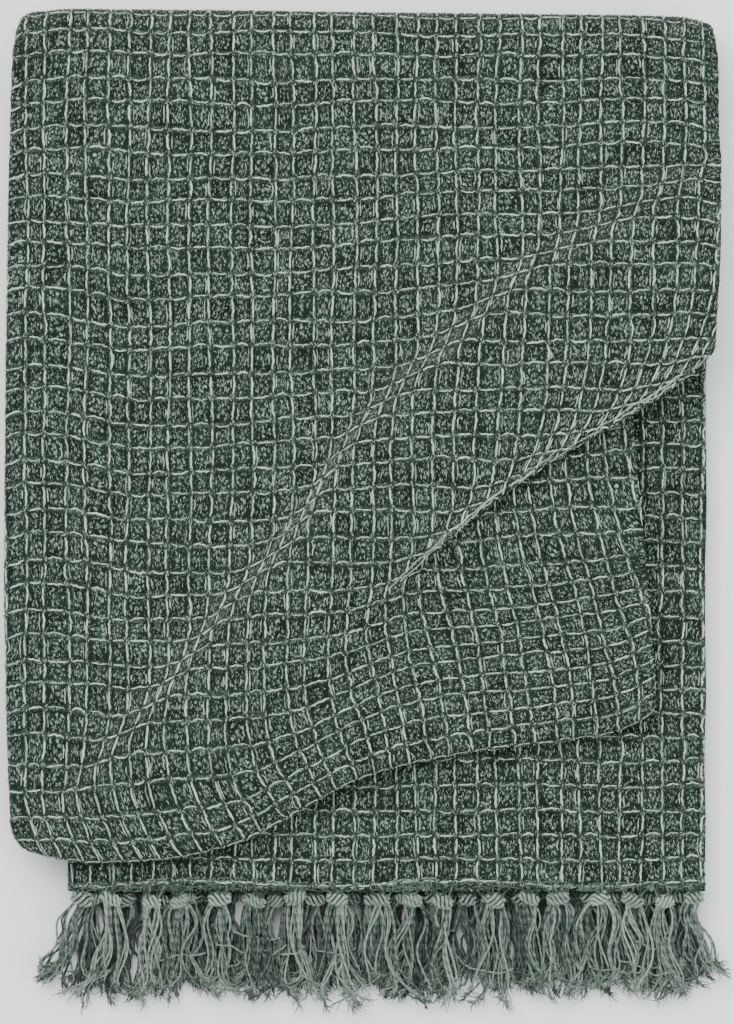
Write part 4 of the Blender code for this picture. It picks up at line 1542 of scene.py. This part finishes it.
class THROW_OT_lower_fringe(bpy.types.Operator):
    """Knot the rows of tassels behind and below"""

    bl_idname = "throw.lower_fringe"
    bl_label = "Lower Fringe"

    def execute(self, context):
        sizes = context.scene.throw_fringe
        paths, frays = Paths(), Paths()
        for row in HIDDEN_ROWS:
            draw = random.Random(row.seed)
            step = (row.last_x - row.first_x) / (row.count - 1)
            for i in range(row.count):
                x = row.first_x + i * step + draw.uniform(-0.003, 0.003)
                lean = 0.045 * x + draw.uniform(-0.004, 0.004)
                tassel = Tassel(x, lean, row.reach + draw.uniform(-0.006, 0.004))
                # The rows behind and below are a darker tone of the same yarn: painted shade
                tone = row.tone + draw.uniform(-0.08, 0.08)
                add_tassel(
                    paths, frays, draw, tassel, (row.knot, row.rest), HIDDEN_SPREAD, sizes,
                    sizes.hidden_strands, tone, HIDDEN_DETAIL,
                )
        strands = fringe_piece(context, "lower_tassels", paths, HIDDEN_SIDES)
        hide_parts("lower_fringe")
        fringe_piece(context, "lower_frays", frays, THREAD_SIDES)
        return {"FINISHED"}


class THROW_OT_declare(bpy.types.Operator):
    """An operator that does nothing: it returns at once."""

    bl_idname = "throw.declare"
    bl_label = "Flat Size"

    def execute(self, context):
        return {"FINISHED"}


class THROW_OT_stage(bpy.types.Operator):
    """Set the pale floor, the soft lights and the camera straight above"""

    bl_idname = "throw.stage"
    bl_label = "Stage"

    def execute(self, context):
        settings = context.scene.throw_stage
        scene = context.scene
        ground = bmesh.new()
        bmesh.ops.create_grid(ground, x_segments=1, y_segments=1, size=FLOOR_REACH)
        data = bpy.data.meshes.new("floor")
        ground.to_mesh(data)
        ground.free()
        data.transform(Matrix.Translation((0, 0, FLOOR_Z)))
        shader = Shader("floor")
        shader.set("Base Color", tuple(settings.floor))
        shader.set("Roughness", 0.9)
        shader.set("Specular IOR Level", 0.1)
        data.materials.append(shader.material)
        linked("floor", data)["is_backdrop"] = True

        lights = (
            ("key", settings.key_power, *KEY_LIGHT),
            ("fill", settings.fill_power, *FILL_LIGHT),
        )
        for name, power, place, size, colour in lights:
            light = bpy.data.lights.new(name, "AREA")
            light.energy = power
            light.size = size
            light.color = colour
            lamp = linked(name, light)
            lamp.location = place
            lamp.rotation_euler = (-Vector(place)).to_track_quat("-Z", "Y").to_euler()

        world = bpy.data.worlds.new("studio")
        world.use_nodes = True
        background = world.node_tree.nodes["Background"].inputs
        background["Color"].default_value = SKY_COLOUR
        background["Strength"].default_value = SKY_STRENGTH
        scene.world = world

        camera = bpy.data.cameras.new("camera")
        camera.sensor_width = SENSOR_WIDTH
        camera.lens = camera.sensor_width * settings.camera_height / (FRAME_HEIGHT * METRES_PER_PIXEL)
        camera.clip_end = 200.0
        eye = linked("camera", camera)
        eye.location = (-0.00025, -0.00025, settings.camera_height + 0.03)
        scene.camera = eye
        return {"FINISHED"}


class THROW_PT_panel(bpy.types.Panel):
    """The throw's pieces in the sidebar"""

    bl_label = "Folded Throw"
    bl_idname = "THROW_PT_panel"
    bl_space_type = "VIEW_3D"
    bl_region_type = "UI"
    bl_category = "Folded Throw"

    def draw(self, context):
        for operator in OPERATORS:
            self.layout.operator(operator.bl_idname)
        for name in GROUPS:
            group = getattr(context.scene, name)
            for key in group.bl_rna.properties.keys():
                if key not in ("rna_type", "name"):
                    self.layout.prop(group, key)


OPERATORS = (
    THROW_OT_stage,
    THROW_OT_woven_cloth,
    THROW_OT_face_yarns,
    THROW_OT_hem_yarns,
    THROW_OT_under_yarns,
    THROW_OT_upper_fringe,
    THROW_OT_lower_fringe,
    THROW_OT_declare,
)
GROUPS = {
    "throw_cloth": ClothColours,
    "throw_yarns": YarnSizes,
    "throw_fringe": FringeSizes,
    "throw_stage": StageSettings,
}


def register():
    for cls in (*GROUPS.values(), *OPERATORS, THROW_PT_panel):
        bpy.utils.register_class(cls)
    for name, group in GROUPS.items():
        setattr(bpy.types.Scene, name, bpy.props.PointerProperty(type=group))


def unregister():
    for name in GROUPS:
        delattr(bpy.types.Scene, name)
    for cls in reversed((*GROUPS.values(), *OPERATORS, THROW_PT_panel)):
        bpy.utils.unregister_class(cls)


def write_sizes():
    boxes = {"cad": CAD_BOX, "visual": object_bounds()}
    sizes = {name: [list(corner) for corner in box] for name, box in boxes.items()}


def main():
    register()
    for operator in OPERATORS:
        name = operator.bl_idname.split(".")[1]
        getattr(bpy.ops.throw, name)()
    write_sizes()


if __name__ == "__main__":
    main()
